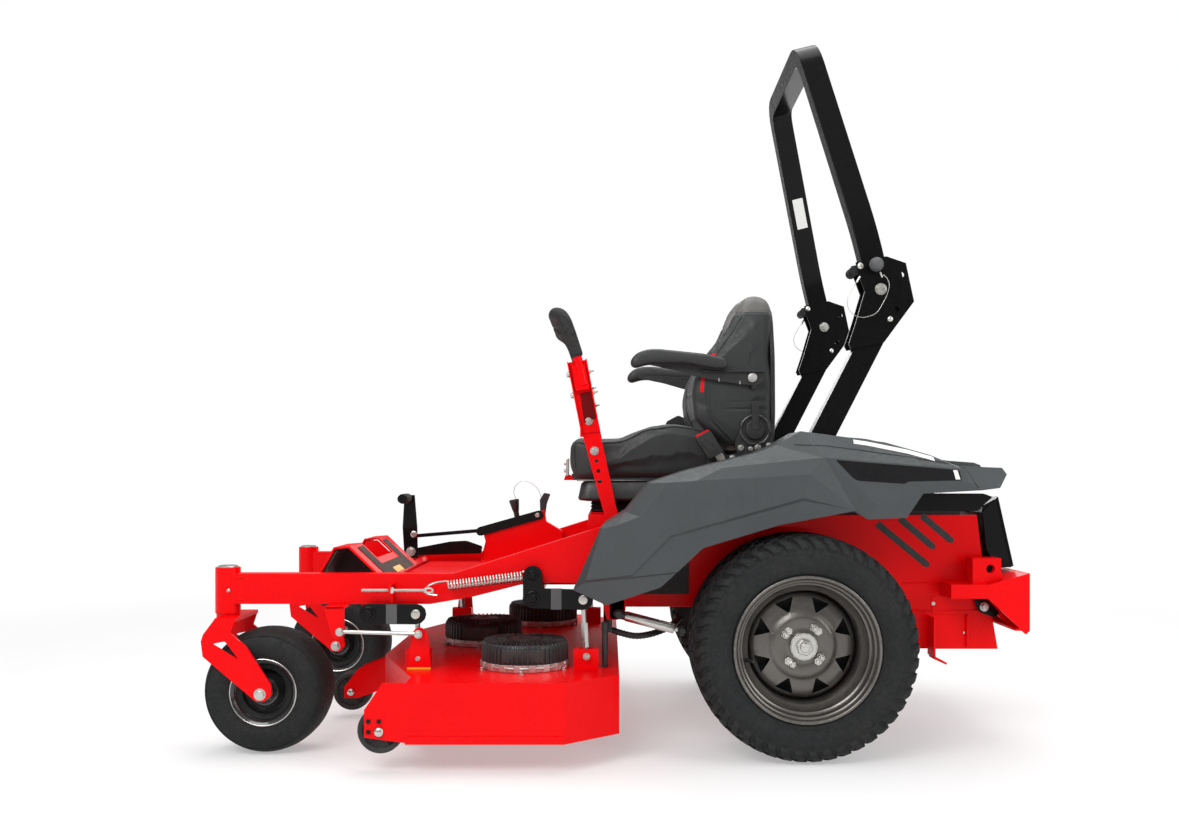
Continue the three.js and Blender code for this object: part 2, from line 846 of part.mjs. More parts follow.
// Cutting blade with its spindle and bolt, drawn about its own axis.
function blade() {
  const flat = box([-BLADE_RADIUS + 2, -32, BLADE_Z - 3], [BLADE_RADIUS - 2, 32, BLADE_Z + 3]);
  const spindle = barZ(0, 0, 16, BLADE_Z - 14, DECK_TOP - GAP);
  const sails = [-1, 1].map((end) => {
    const low = [Math.min(end * 150, end * 222), end > 0 ? 14 : -32, BLADE_Z + 2];
    const high = [Math.max(end * 150, end * 222), end > 0 ? 32 : -14, BLADE_Z + 20];
    return box(low, high);
  });
  return join(flat, spindle, ...sails);
}

// Side discharge deflector that hangs on a hinge over the deck's mouth.
function dischargeChute() {
  const hinge = DECK_SIDE_Y + 8;
  const path = rounded([[hinge, 214], [hinge + 30, 214], [hinge + 274, 128]], 24, 3);
  const settings = { depth: 396, bevelEnabled: false };
  const geometry = new THREE.ExtrudeGeometry(shapeOf(ribbon(path, 6)), settings);
  geometry.rotateX(Math.PI / 2);
  geometry.rotateZ(Math.PI / 2);
  const apron = solid(moved(geometry, -533, 0, 0));
  const cheek = planPlate([[-533, hinge + 20], [-527, hinge + 20], [-527, 955], [-533, 955]], 90, 214);
  const cheekRear = planPlate([[-143, hinge + 20], [-137, hinge + 20], [-137, 955], [-143, 955]], 90, 214);
  const above = cutterAbove(hinge);
  return join(apron, cut(join(cheek, cheekRear), above));
}

// The wedge of space above the deflector's sloping sheet.
function cutterAbove(hinge) {
  const wedge = [
    [hinge - 10, 214],
    [hinge + 30, 214],
    [hinge + 300, 118],
    [hinge + 300, 260],
    [hinge - 10, 260],
  ];
  const settings = { depth: 500, bevelEnabled: false };
  const geometry = new THREE.ExtrudeGeometry(shapeOf(wedge), settings);
  geometry.rotateX(Math.PI / 2);
  geometry.rotateZ(Math.PI / 2);
  return solid(moved(geometry, -580, 0, 0));
}

function roller(length) {
  const half = length / 2;
  const profile = [
    [6 + GAP, -half],
    [46, -half],
    [59, -4],
    [59, 4],
    [46, half],
    [6 + GAP, half],
  ];
  return solid(turned(profile, 18));
}

// Lift shafts: a cross tube with arm plates outside both rails.
function frontLiftShaft() {
  const reach = ARM_OUTER_Y;
  const pieces = [barY(FRONT_SHAFT, LIFT_SHAFT_RADIUS, -reach, reach)];
  for (const { side } of SIDES) {
    pieces.push(strap(FRONT_SHAFT, FRONT_ARM_TIP, 27, side * ARM_INNER_Y, side * ARM_OUTER_Y));
  }
  return join(...pieces);
}

function rearLiftShaft() {
  const reach = ARM_OUTER_Y;
  const pieces = [barY(REAR_SHAFT, LIFT_SHAFT_RADIUS, -reach, reach)];
  for (const { side } of SIDES) {
    const stations = [side * ARM_INNER_Y, side * ARM_OUTER_Y];
    pieces.push(strap(REAR_SHAFT, REAR_ARM_TIP, 27, ...stations));
    pieces.push(strap(REAR_SHAFT, SPRING_PIN, 26, ...stations));
  }
  return join(...pieces);
}

// Assist spring beside the left rail, as the plain envelope of its coils with both hooks.
function liftSpring() {
  const y = -(ARM_INNER_Y + 4);
  const hookFront = new THREE.Vector3(-513, y, 437);
  const front = new THREE.Vector3(-458, y, 444);
  const rear = new THREE.Vector3(-266, y, 470);
  const coils = tube([front, rear], 15, 14, 2);
  const hook = tube([hookFront, front.clone().lerp(rear, 0.02)], 3, 8, 2);
  const rod = tube([new THREE.Vector3(-686, y, 435), hookFront.clone().setX(-510)], 4, 8, 2);
  return join(coils, hook, rod);
}

// Adjustable deck link: an eye at the lift arm, a rod and a turnbuckle body.
function liftLink(side, tip, foot) {
  const y = side * LINK_Y;
  const eye = strap(tip, { x: tip.x + 1, z: tip.z }, 13, y - 6, y + 6);
  const top = new THREE.Vector3(tip.x, y, tip.z - 6);
  const bottom = new THREE.Vector3(foot.x, y, foot.z);
  const rod = tube([top, bottom], 7, 10, 2);
  const upper = top.clone().lerp(bottom, 0.35);
  const lower = top.clone().lerp(bottom, 0.75);
  return join(eye, rod, tube([upper, lower], 10, 6, 2));
}

// Steering lever, lower half: a flat bar from the hydro-style pivot up to the swing bracket.
function lapBarBase(side) {
  const bar = [
    [-38, 592],
    [-2, 592],
    [-4, 617],
    [-55, SWING_PIVOT_Z - 16],
    [-105, SWING_PIVOT_Z - 16],
    [-42, 617],
  ];
  const plate = sidePlate(bar, side * LEVER_INNER_Y, side * LEVER_OUTER_Y);
  const bossInner = side * (FRAME_PLATE_OUTER + GAP);
  const boss = barY(LEVER_PIVOT, 17, bossInner, side * LEVER_OUTER_Y);
  const ear = [
    [-112, SWING_PIVOT_Z - 22],
    [-52, SWING_PIVOT_Z - 22],
    [-58, SWING_PIVOT_Z + 10],
    [-112, SWING_PIVOT_Z + 10],
  ];
  return join(plate, boss, sidePlate(ear, side * LEVER_INNER_Y, side * LEVER_OUTER_Y));
}

// Steering lever, upper half: a bracket that swings outwards and the padded grip above it.
function lapBar(side) {
  const y = side * (LEVER_OUTER_Y + GAP);
  const outer = side * (LEVER_OUTER_Y + 26);
  const bracket = [
    [-108, SWING_PIVOT_Z - 12],
    [-56, SWING_PIVOT_Z - 12],
    [-90, 1052],
    [-146, 1048],
  ];
  const plate = sidePlate(bracket, y, outer);
  const middle = (y + outer) / 2;
  const grip = tube(
    [
      new THREE.Vector3(-114, middle, 1030),
      new THREE.Vector3(-126, middle, 1075),
      new THREE.Vector3(-143, middle, 1140),
      new THREE.Vector3(-160, middle - side * 12, 1178),
      new THREE.Vector3(-182, middle - side * 50, 1192),
      new THREE.Vector3(-186, side * 200, 1193),
      new THREE.Vector3(-186, side * 60, 1193),
    ],
    GRIP_RADIUS,
    10,
    18,
  );
  return join(plate, grip);
}

// Moving top of the seat suspension, with its slide rails.
function seatSuspension() {
  const outline = [
    [-110, 719],
    [-122, 672],
    [-104, 660],
    [280, 660],
    [290, 719],
  ];
  return sidePlate(outline, -205, 205);
}

function seatCushion() {
  const outline = [
    [-136, 726],
    [106, 726],
    [312, 740],
    [318, 792],
    [263, 858],
    [222, 878],
    [152, 888],
    [71, 878],
    [0, 850],
    [-91, 845],
    [-131, 850],
    [-149, 833],
    [-149, 762],
  ];
  return sidePlate(outline, -SEAT_HALF, SEAT_HALF);
}

function seatBack() {
  const outline = [
    [330, 812],
    [448, 828],
    [448, 1006],
    [435, 1077],
    [437, 1240],
    [425, 1258],
    [382, 1268],
    [356, 1255],
    [305, 1153],
    [249, 1087],
    [209, 1016],
    [201, 975],
    [208, 896],
  ];
  return sidePlate(outline, -SEAT_HALF, SEAT_HALF);
}

function armrest(side) {
  const pad = [
    [30, 1028],
    [22, 1045],
    [39, 1068],
    [69, 1091],
    [119, 1095],
    [244, 1078],
    [304, 1061],
    [312, 1046],
    [299, 1034],
    [200, 1044],
  ];
  const bracket = [
    [22, 1024],
    [40, 1040],
    [200, 1050],
    [411, 1029],
    [400, 1000],
    [369, 989],
    [300, 984],
    [194, 981],
    [60, 1012],
  ];
  const inner = side * ARMREST_INNER_Y;
  const foam = sidePlate(pad, inner, side * ARMREST_OUTER_Y);
  return join(foam, sidePlate(bracket, inner, side * (ARMREST_INNER_Y + 10)));
}

function reclineHandle() {
  const inner = -(SEAT_HALF + GAP);
  const knob = barY(RECLINE_PIVOT, 34, inner, inner - 16, 20);
  const lever = strap(RECLINE_PIVOT, { x: 384, z: 946 }, 12, inner - 6, inner - 16);
  return join(knob, lever);
}

// ---------------------------------------------------------------- assembly
for (const { side, label } of SIDES) {
  addSolid(`frame_rail_${label}`, frameRail(side), RED);
  addSolid(`fender_${label}`, fender(side), FENDER_GREY);
  addSolid(`rops_post_${label}`, ropsPost(side), BLACK_PAINT);
  addSolid(`rops_pin_${label}`, ropsPin(side), BLACK_PAINT);
  addSolid(`drive_unit_${label}`, driveUnit(side), MOTOR_BLACK);
  const caster = [CASTER_PIVOT_X + CASTER_TRAIL, side * CASTER_Y, CASTER_TYRE_RADIUS];
  addSolid(`caster_fork_${label}`, casterFork(side), RED);
  addSolid(`caster_tyre_${label}`, casterTyre(), TYRE, caster);
  addSolid(`caster_rim_${label}`, casterRim(), BLACK_PAINT, caster);
  const wheel = [REAR_AXLE_X, side * REAR_MID_Y, REAR_AXLE_Z];
  addSolid(`rear_tyre_${label}`, rearTyre(), TYRE, wheel);
  addSolid(`rear_rim_${label}`, rearRim(side), RIM_GREY, wheel);
  addSolid(`wheel_hub_${label}`, wheelHub(side), STEEL);
  addSolid(`deck_roller_${label}`, roller(46), MOTOR_BLACK,
    [SIDE_ROLLER.x, side * SIDE_ROLLER_Y, SIDE_ROLLER.z]);
  const frontFoot = { x: -534, z: 240 };
  const rearFoot = { x: -92, z: 240 };
  addSolid(`lift_link_front_${label}`, liftLink(side, FRONT_ARM_TIP, frontFoot), STEEL);
  addSolid(`lift_link_rear_${label}`, liftLink(side, REAR_ARM_TIP, rearFoot), STEEL);
  addSolid(`lap_bar_base_${label}`, lapBarBase(side), RED);
  addSolid(`lap_bar_${label}`, lapBar(side), FOAM);
  addSolid(`armrest_${label}`, armrest(side), FOAM);
}
for (const { x, y, label } of SPINDLES) {
  addSolid(`blade_motor_${label}`, bladeMotor(), MOTOR_BLACK, [x, y, 0]);
  addSolid(`blade_${label}`, blade(), STEEL, [x, y, 0]);
}
addSolid("foot_ramp", footRamp(), RED);
addSolid("floor_pan", floorPan(), RED);
addSolid("lift_pedal", liftPedal(), BLACK_PAINT);
addSolid("pedal_link", pedalLink(), BLACK_PAINT);
addSolid("rear_frame", rearFrame(), RED);
addSolid("rear_bumper", rearBumper(), RED);
addSolid("rear_panel", rearPanel(), BLACK_PAINT);
addSolid("rear_hood", rearHood(), FENDER_GREY);
addSolid("battery_pack", batteryPack(), MOTOR_BLACK);
addSolid("rops_hoop", ropsHoop(), BLACK_PAINT);
addSolid("deck_shell", deckShell(), RED);
addSolid("discharge_chute", dischargeChute(), MOTOR_BLACK);
addSolid("deck_roller_centre", roller(58), MOTOR_BLACK, [CENTRE_ROLLER.x, 0, CENTRE_ROLLER.z]);
addSolid("front_lift_shaft", frontLiftShaft(), BLACK_PAINT);
addSolid("rear_lift_shaft", rearLiftShaft(), BLACK_PAINT);
addSolid("lift_spring_left", liftSpring(), STEEL);
addSolid("seat_suspension", seatSuspension(), MOTOR_BLACK);
addSolid("seat_cushion", seatCushion(), VINYL);
addSolid("seat_back", seatBack(), VINYL);
addSolid("recline_handle", reclineHandle(), MOTOR_BLACK);

export default mower;
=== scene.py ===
import json
import math
import bmesh
import bpy
from mathutils import Matrix, Vector, noise
from mathutils.bvhtree import BVHTree


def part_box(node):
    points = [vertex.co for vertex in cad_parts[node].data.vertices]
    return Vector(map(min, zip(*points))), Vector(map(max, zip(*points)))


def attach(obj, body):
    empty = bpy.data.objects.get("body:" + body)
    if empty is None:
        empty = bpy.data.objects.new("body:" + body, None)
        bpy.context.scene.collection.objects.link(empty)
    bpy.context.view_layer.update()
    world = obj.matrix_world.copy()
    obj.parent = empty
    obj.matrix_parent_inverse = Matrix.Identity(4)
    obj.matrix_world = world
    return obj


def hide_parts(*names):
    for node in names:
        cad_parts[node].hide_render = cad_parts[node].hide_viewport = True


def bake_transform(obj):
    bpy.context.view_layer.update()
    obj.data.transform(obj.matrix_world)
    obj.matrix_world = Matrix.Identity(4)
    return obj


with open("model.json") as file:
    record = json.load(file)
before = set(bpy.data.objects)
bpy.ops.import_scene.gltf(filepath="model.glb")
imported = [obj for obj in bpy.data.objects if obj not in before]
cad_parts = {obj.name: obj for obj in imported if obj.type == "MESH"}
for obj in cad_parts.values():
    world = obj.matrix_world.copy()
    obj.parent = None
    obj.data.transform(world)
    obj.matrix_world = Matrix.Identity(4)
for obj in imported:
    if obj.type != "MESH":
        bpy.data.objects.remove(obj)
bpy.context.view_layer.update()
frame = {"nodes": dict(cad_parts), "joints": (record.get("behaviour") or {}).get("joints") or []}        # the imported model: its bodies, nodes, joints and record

# ---------------------------------------------------------------- places from the frame
MM = 0.001
LEFT, RIGHT = -1, 1
SIDES = ((LEFT, "left"), (RIGHT, "right"))
PIVOT = {joint["name"]: Vector(joint["pos_m"]) for joint in frame["joints"] if "pos_m" in joint}
CENTRE_Y = PIVOT["blade_spin_centre"].y  # the machine's centre plane
X_AXIS, Y_AXIS, Z_AXIS = Vector((1, 0, 0)), Vector((0, 1, 0)), Vector((0, 0, 1))


def at(x, lateral, z, side=LEFT):
    """A point from millimetres along the machine, out from its centre plane, and above the ground."""
    return Vector((x * MM, CENTRE_Y + side * lateral * MM, z * MM))


def outward(side):
    """The direction that points away from the centre plane on that side."""
    return Vector((0, side, 0))


def turns_round(count):
    """The angles of that many even steps round a circle."""
    return [2 * math.pi * k / count for k in range(count)]


# ---------------------------------------------------------------- mesh making
class Shape:
    """Closed solids gathered into one mesh. Points are in metres, in the row frame."""

    def __init__(self):
        self.points = []
        self.faces = []

    def rings(self, rings, closed=False):
        """Joins rings of points, and caps both ends unless the last ring joins the first."""
        start = len(self.points)
        count = len(rings[0])
        for ring in rings:
            self.points.extend(Vector(point) for point in ring)
        spans = len(rings) if closed else len(rings) - 1
        for a in range(spans):
            b = (a + 1) % len(rings)
            for i in range(count):
                j = (i + 1) % count
                corners = (a * count + i, a * count + j, b * count + j, b * count + i)
                self.faces.append(tuple(start + corner for corner in corners))
        if not closed:
            last = start + (len(rings) - 1) * count
            self.faces.append(tuple(start + i for i in reversed(range(count))))
            self.faces.append(tuple(last + i for i in range(count)))
        return self

    def turned(self, profile, centre, axis, segments=48, closed=False):
        """A profile of (radius, distance along the axis) in mm, turned about the axis."""
        u = axis.orthogonal().normalized()
        v = axis.cross(u)
        rings = []
        for radius, along in profile:
            reach = max(radius, 0.05) * MM
            spokes = [u * math.cos(turn) + v * math.sin(turn) for turn in turns_round(segments)]
            rings.append([centre + axis * (along * MM) + spoke * reach for spoke in spokes])
        return self.rings(rings, closed)

    def plate(self, outline, inner, outer, side=LEFT):
        """An (x, z) outline in mm, from one lateral distance to another."""
        rings = [[at(x, lateral, z, side) for x, z in outline] for lateral in (inner, outer)]
        return self.rings(rings)

    def slab(self, outline, low, high, side=LEFT):
        """An (x, lateral) outline in mm, from one height to another."""
        rings = [[at(x, lateral, z, side) for x, lateral in outline] for z in (low, high)]
        return self.rings(rings)

    def block(self, centre, size, tilt=None):
        """A box of that size in mm round a point in metres, turned by a matrix."""
        half = Vector(size) * MM / 2
        turn = tilt or Matrix.Identity(3)
        signs = ((-1, -1), (1, -1), (1, 1), (-1, 1))
        rings = []
        for z in (-half.z, half.z):
            rings.append([centre + turn @ Vector((half.x * a, half.y * b, z)) for a, b in signs])
        return self.rings(rings)

    def tube(self, path, radius, sides=12, closed=False):
        """A round bar along points in metres. The radius, in mm, is one number or one for each point."""
        radii = radius if isinstance(radius, (list, tuple)) else [radius] * len(path)
        count = len(path)
        rings = []
        normal = None
        for i, point in enumerate(path):
            before = path[(i - 1) % count] if closed or i else point
            after = path[(i + 1) % count] if closed or i < count - 1 else point
            ahead = (after - before).normalized()
            if normal is None:
                normal = ahead.orthogonal().normalized()
            normal = (normal - ahead * normal.dot(ahead)).normalized()
            side = ahead.cross(normal)
            spokes = [normal * math.cos(turn) + side * math.sin(turn) for turn in turns_round(sides)]
            rings.append([point + spoke * radii[i] * MM for spoke in spokes])
        return self.rings(rings, closed)

    def hex_bolt(self, centre, axis, across, height=None, washer=True):
        """A hexagon head with a washer under it, standing out along the axis."""
        reach = across / math.sqrt(3)
        tall = height or across * 0.55
        base = 1.6 if washer else 0
        if washer:
            self.turned([(reach * 1.25, -0.5), (reach * 1.25, base)], centre, axis, 24)
        head = [(reach, base), (reach, base + tall * 0.85), (reach * 0.86, base + tall)]
        return self.turned(head, centre, axis, 6)

    def dome(self, centre, axis, radius, height):
        """The round head of a carriage bolt."""
        arc = [math.radians(turn) for turn in range(0, 91, 15)]
        profile = [(radius * math.cos(turn), height * math.sin(turn)) for turn in arc]
        return self.turned([(radius, -0.5)] + profile, centre, axis, 28)


def curve_through(points, steps=8):
    """A smooth line through the points, Catmull-Rom, with that many steps between two of them."""
    padded = [points[0] * 2 - points[1]] + list(points) + [points[-1] * 2 - points[-2]]
    line = []
    for a, b, c, d in zip(padded, padded[1:], padded[2:], padded[3:]):
        for k in range(steps):
            t = k / steps
            straight = b * 2 + (c - a) * t
            bend = (a * 2 - b * 5 + c * 4 - d) * t * t + (b * 3 - a - c * 3 + d) * t ** 3
            line.append((straight + bend) * 0.5)
    return line + [points[-1]]


def rounded(outline, radius, steps=4):
    """The outline with each corner rounded."""
    smooth = []
    count = len(outline)
    for i, corner in enumerate(outline):
        here = Vector(corner)
        to_last = Vector(outline[i - 1]) - here
        to_next = Vector(outline[(i + 1) % count]) - here
        reach = min(radius, to_last.length * 0.45, to_next.length * 0.45)
        start = here + to_last.normalized() * reach
        end = here + to_next.normalized() * reach
        for k in range(steps + 1):
            t = k / steps
            smooth.append(tuple(start * (1 - t) ** 2 + here * 2 * t * (1 - t) + end * t * t))
    return smooth


def circle(x, z, radius, steps=24):
    """A round (x, z) outline."""
    return [(x + radius * math.cos(turn), z + radius * math.sin(turn)) for turn in turns_round(steps)]


def stand(name, data):
    """Puts a mesh, a lamp or a camera into the scene as a new object."""
    obj = bpy.data.objects.new(name, data)
    bpy.context.scene.collection.objects.link(obj)
    return obj


def piece(name, shape, material, body, slot, bevel=0.0, smooth=38, segments=2):
    """Makes a shape into an object that rides on a body. The bevel is in mm."""
    mesh = bpy.data.meshes.new(name)
    mesh.from_pydata([tuple(point) for point in shape.points], [], shape.faces)
    edit = bmesh.new()
    edit.from_mesh(mesh)
    bmesh.ops.recalc_face_normals(edit, faces=edit.faces)
    edit.to_mesh(mesh)
    edit.free()
    mesh.validate()
    obj = stand(name, mesh)
    finish_mesh(obj, material, bevel, smooth, segments)
    if body:
        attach(obj, body)
    return obj


def finish_mesh(obj, material, bevel, smooth, segments):
    """Gives a mesh its material, and either beveled edges or a sharp edge at that angle in degrees."""
    obj.data.materials.clear()
    obj.data.materials.append(material)
    obj.data.shade_smooth()
    if bevel:
        add_bevel(obj, bevel, segments)
    else:
        obj.data.set_sharp_from_angle(angle=math.radians(smooth))


WELD_REACH = 0.00002     # m
FLAT_DEGREES = 0.6       # triangles this flat to each other become one face
BEVEL_DEGREES = 30       # sharper edges than this are beveled


def add_bevel(obj, width, segments):
    bevel = obj.modifiers.new("bevel", "BEVEL")
    bevel.width = width * MM
    bevel.segments = segments
    bevel.limit_method = "ANGLE"
    bevel.angle_limit = math.radians(BEVEL_DEGREES)
    bevel.use_clamp_overlap = True
    weighted = obj.modifiers.new("normals", "WEIGHTED_NORMAL")
    weighted.weight = 60
    weighted.keep_sharp = False


def soften(obj, bevel):
    """Joins a CAD mesh's split points and flat triangles, then softens its edges."""
    obj.data.shade_smooth()
    weld = obj.modifiers.new("weld", "WELD")
    weld.merge_threshold = WELD_REACH
    flat = obj.modifiers.new("flat", "DECIMATE")
    flat.decimate_type = "DISSOLVE"
    flat.angle_limit = math.radians(FLAT_DEGREES)
    add_bevel(obj, bevel, 2)


def finish_node(name, material, bevel):
    """Gives a CAD node its material and softens its edges, with its shape left as it is."""
    node = frame["nodes"][name]
    node.data.materials.clear()
    node.data.materials.append(material)
    soften(node, bevel)


# ---------------------------------------------------------------- materials
def link(tree, output, socket):
    tree.links.new(output, socket)


def noise_node(tree, coords, scale, detail=3.0, rough=0.5):
    """A noise texture's value, at that scale."""
    node = tree.nodes.new("ShaderNodeTexNoise")
    node.inputs["Scale"].default_value = scale
    node.inputs["Detail"].default_value = detail
    node.inputs["Roughness"].default_value = rough
    link(tree, coords, node.inputs["Vector"])
    return node.outputs["Fac"]


def spread(tree, value, low, high, start=0.3, end=0.7):
    """The value, taken from start..end to low..high."""
    node = tree.nodes.new("ShaderNodeMapRange")
    for name, number in (("From Min", start), ("From Max", end), ("To Min", low), ("To Max", high)):
        node.inputs[name].default_value = number
    link(tree, value, node.inputs["Value"])
    return node.outputs["Result"]


def mix(tree, share, a, b):
    """Mixes two colours, each a tuple or a socket."""
    node = tree.nodes.new("ShaderNodeMix")
    node.data_type = "RGBA"
    link(tree, share, node.inputs["Factor"])
    for name, colour in (("A", a), ("B", b)):
        socket = next(s for s in node.inputs if s.name == name and s.type == "RGBA")
        if isinstance(colour, tuple):
            socket.default_value = (*colour, 1)
        else:
            link(tree, colour, socket)
    return next(s for s in node.outputs if s.type == "RGBA")


def shaded(colour, amount):
    """The colour made lighter or darker by a factor."""
    return tuple(min(1.0, channel * amount) for channel in colour)


def make_material(name, colour, rough, metallic=0.0, coat=0.0, coat_rough=0.05, patchy=0.12,
                  grain=(900.0, 0.05), cells=None, worn=None, dust=None, ripple=None, sheen=0.0,
                  specular=0.5):
    """A procedural surface.

    grain is the scale and the depth in mm of fine bumps. cells is the same for a leather or cast grain,
    and ripple for slow waves. worn is the colour that shows on edges, and dust a colour in patches."""
    made = bpy.data.materials.new(name)
    made.use_nodes = True
    tree = made.node_tree
    shader = tree.nodes["Principled BSDF"]
    coords = tree.nodes.new("ShaderNodeTexCoord").outputs["Object"]
    shader.inputs["Metallic"].default_value = metallic
    shader.inputs["Coat Weight"].default_value = coat
    shader.inputs["Coat Roughness"].default_value = coat_rough
    shader.inputs["Sheen Weight"].default_value = sheen
    shader.inputs["Specular IOR Level"].default_value = specular
    broad = noise_node(tree, coords, 7, 4, 0.6)
    fine = noise_node(tree, coords, 90, 3, 0.6)
    tone = mix(tree, spread(tree, broad, 0, 1), shaded(colour, 1 - patchy), shaded(colour, 1 + patchy))
    tone = mix(tree, spread(tree, fine, 0, 0.5), tone, shaded(colour, 1 + patchy * 0.6))
    if dust:
        patches = noise_node(tree, coords, 16, 5, 0.7)
        tone = mix(tree, spread(tree, patches, 0, 0.55, 0.46, 0.78), tone, dust)
    if worn:
        edge = tree.nodes.new("ShaderNodeNewGeometry").outputs["Pointiness"]
        broken = tree.nodes.new("ShaderNodeMath")
        broken.operation = "MULTIPLY"
        link(tree, spread(tree, edge, 0, 1, 0.53, 0.62), broken.inputs[0])
        link(tree, spread(tree, fine, 0, 0.8, 0.42, 0.7), broken.inputs[1])
        tone = mix(tree, broken.outputs["Value"], tone, worn)
    link(tree, tone, shader.inputs["Base Color"])
    low, high = rough * 0.8, min(1.0, rough * 1.25)
    link(tree, spread(tree, fine, low, high), shader.inputs["Roughness"])
    normal = None
    layers = [(noise_node(tree, coords, grain[0], 2, 0.5), grain[1])]
    if ripple:
        layers.append((noise_node(tree, coords, ripple[0], 1, 0.4), ripple[1]))
    if cells:
        cell = tree.nodes.new("ShaderNodeTexVoronoi")
        cell.inputs["Scale"].default_value = cells[0]
        link(tree, coords, cell.inputs["Vector"])
        layers.append((cell.outputs["Distance"], cells[1]))
    for height, depth in layers:
        bump = tree.nodes.new("ShaderNodeBump")
        bump.inputs["Distance"].default_value = depth * MM
        link(tree, height, bump.inputs["Height"])
        if normal is not None:
            link(tree, normal, bump.inputs["Normal"])
        normal = bump.outputs["Normal"]
    link(tree, normal, shader.inputs["Normal"])
    return made


RED = make_material("red powder coat", (0.80, 0.0006, 0.0025), 0.32, coat=0.06, coat_rough=0.10, patchy=0.04,
                    grain=(300, 0.01), ripple=(12, 0.5), specular=0.09)
BLACK = make_material("gloss black paint", (0.0035, 0.0035, 0.0035), 0.22, coat=0.07, coat_rough=0.06,
                      patchy=0.15, grain=(300, 0.004), ripple=(9, 0.5), specular=0.14)
FENDER = make_material("grained grey moulding", (0.041, 0.047, 0.050), 0.50, patchy=0.10,
                       grain=(1500, 0.10), cells=(900, 0.10), worn=(0.14, 0.155, 0.165), ripple=(9, 0.5))
MOTOR = make_material("satin black moulding", (0.012, 0.012, 0.013), 0.42, patchy=0.2,
                      grain=(1200, 0.06), worn=(0.06, 0.06, 0.06), dust=(0.05, 0.045, 0.04))
CASE = make_material("matt black case", (0.022, 0.022, 0.024), 0.6, patchy=0.2, grain=(1000, 0.08))
CAST = make_material("cast aluminium", (0.58, 0.57, 0.55), 0.42, metallic=0.85, patchy=0.08,
                     grain=(800, 0.05), dust=(0.35, 0.33, 0.30))
STEEL = make_material("zinc plated steel", (0.60, 0.59, 0.56), 0.3, metallic=1.0, patchy=0.08,
                      grain=(900, 0.01), dust=(0.42, 0.39, 0.34))
RUBBER = make_material("tyre rubber", (0.010, 0.011, 0.0115), 0.72, patchy=0.25, grain=(700, 0.12),
                       dust=(0.026, 0.0245, 0.022), ripple=(40, 0.25), specular=0.3)
CHUTE = make_material("matt black rubber", (0.018, 0.018, 0.018), 0.68, patchy=0.25, grain=(500, 0.2),
                      dust=(0.05, 0.047, 0.042), ripple=(12, 1.2))
RIM_GREY = make_material("gun metal paint", (0.135, 0.125, 0.115), 0.34, metallic=0.85, coat=0.3,
                         patchy=0.10, grain=(900, 0.04), worn=(0.35, 0.33, 0.31))
RIM_BLACK = make_material("gloss black rim", (0.014, 0.014, 0.014), 0.22, coat=0.6, patchy=0.2,
                          grain=(500, 0.04), worn=(0.2, 0.2, 0.2))
VINYL = make_material("charcoal vinyl", (0.014, 0.0155, 0.016), 0.46, patchy=0.15, grain=(500, 0.10),
                      cells=(650, 0.22), ripple=(22, 0.7), sheen=0.1)
VINYL_LIGHT = make_material("grey vinyl", (0.115, 0.110, 0.103), 0.42, patchy=0.10, grain=(500, 0.08),
                            cells=(650, 0.2), ripple=(25, 0.5), sheen=0.1)
FOAM = make_material("moulded foam", (0.011, 0.011, 0.011), 0.80, patchy=0.2, grain=(500, 0.06),
                     cells=(420, 0.08), dust=(0.04, 0.038, 0.035))
ARM_FOAM = make_material("skinned foam", (0.013, 0.0135, 0.014), 0.5, patchy=0.2, grain=(600, 0.12),
                         cells=(520, 0.15), sheen=0.05)
GRIP_TAPE = make_material("grip pad", (0.055, 0.042, 0.034), 0.9, patchy=0.3, grain=(1100, 0.5))
LABEL_DARK = make_material("dark label", (0.005, 0.005, 0.006), 0.42, patchy=0.05, grain=(60, 0.01),
                           specular=0.2)
# A dark red that paints the shade inside the lap bar's channel.
RED_PAINTED_SHADE = make_material("red with painted shade", (0.13, 0.001, 0.002), 0.5, patchy=0.1, grain=(300, 0.01),
                         specular=0.1)
LABEL_PALE = make_material("pale label", (0.74, 0.74, 0.72), 0.4, patchy=0.04, grain=(300, 0.02))
LABEL_AMBER = make_material("amber label", (0.80, 0.42, 0.02), 0.4, patchy=0.06, grain=(300, 0.02))
GREY_BAND = make_material("grey band", (0.075, 0.077, 0.08), 0.55, patchy=0.1, grain=(700, 0.05))
CABLE = make_material("cable jacket", (0.012, 0.012, 0.012), 0.5, patchy=0.2, grain=(700, 0.08))

SLOT_OF = {
    RED: "red_paint", RED_PAINTED_SHADE: "red_paint", BLACK: "black_paint", FENDER: "fender_plastic",
    MOTOR: "motor_black", CASE: "battery_case", CAST: "bare_steel", STEEL: "bare_steel",
    RUBBER: "tyre_rubber", CHUTE: "chute_rubber", RIM_GREY: "rim_grey", RIM_BLACK: "rim_black",
    VINYL: "seat_vinyl", VINYL_LIGHT: "seat_vinyl", FOAM: "grip_foam", ARM_FOAM: "grip_foam",
    GRIP_TAPE: "black_paint", LABEL_DARK: "black_paint", LABEL_PALE: "bare_steel",
    LABEL_AMBER: "bare_steel", GREY_BAND: "motor_black", CABLE: "motor_black",
}


def build(name, shape, material, body, bevel=0.0, **more):
    """A piece made in that material."""
    return piece(name, shape, material, body, SLOT_OF[material], bevel, **more)


def cut_sheet(name, outline, inner, outer, material, body, bevel=0.8, side=LEFT, **more):
    """A piece of one thickness: an (x, z) outline, from one lateral distance to another."""
    return build(name, Shape().plate(outline, inner, outer, side), material, body, bevel, **more)


def on_both_sides(*makers):
    """Calls each maker for the left side, then for the right."""
    for side, label in SIDES:
        for make in makers:
            make(side, label)


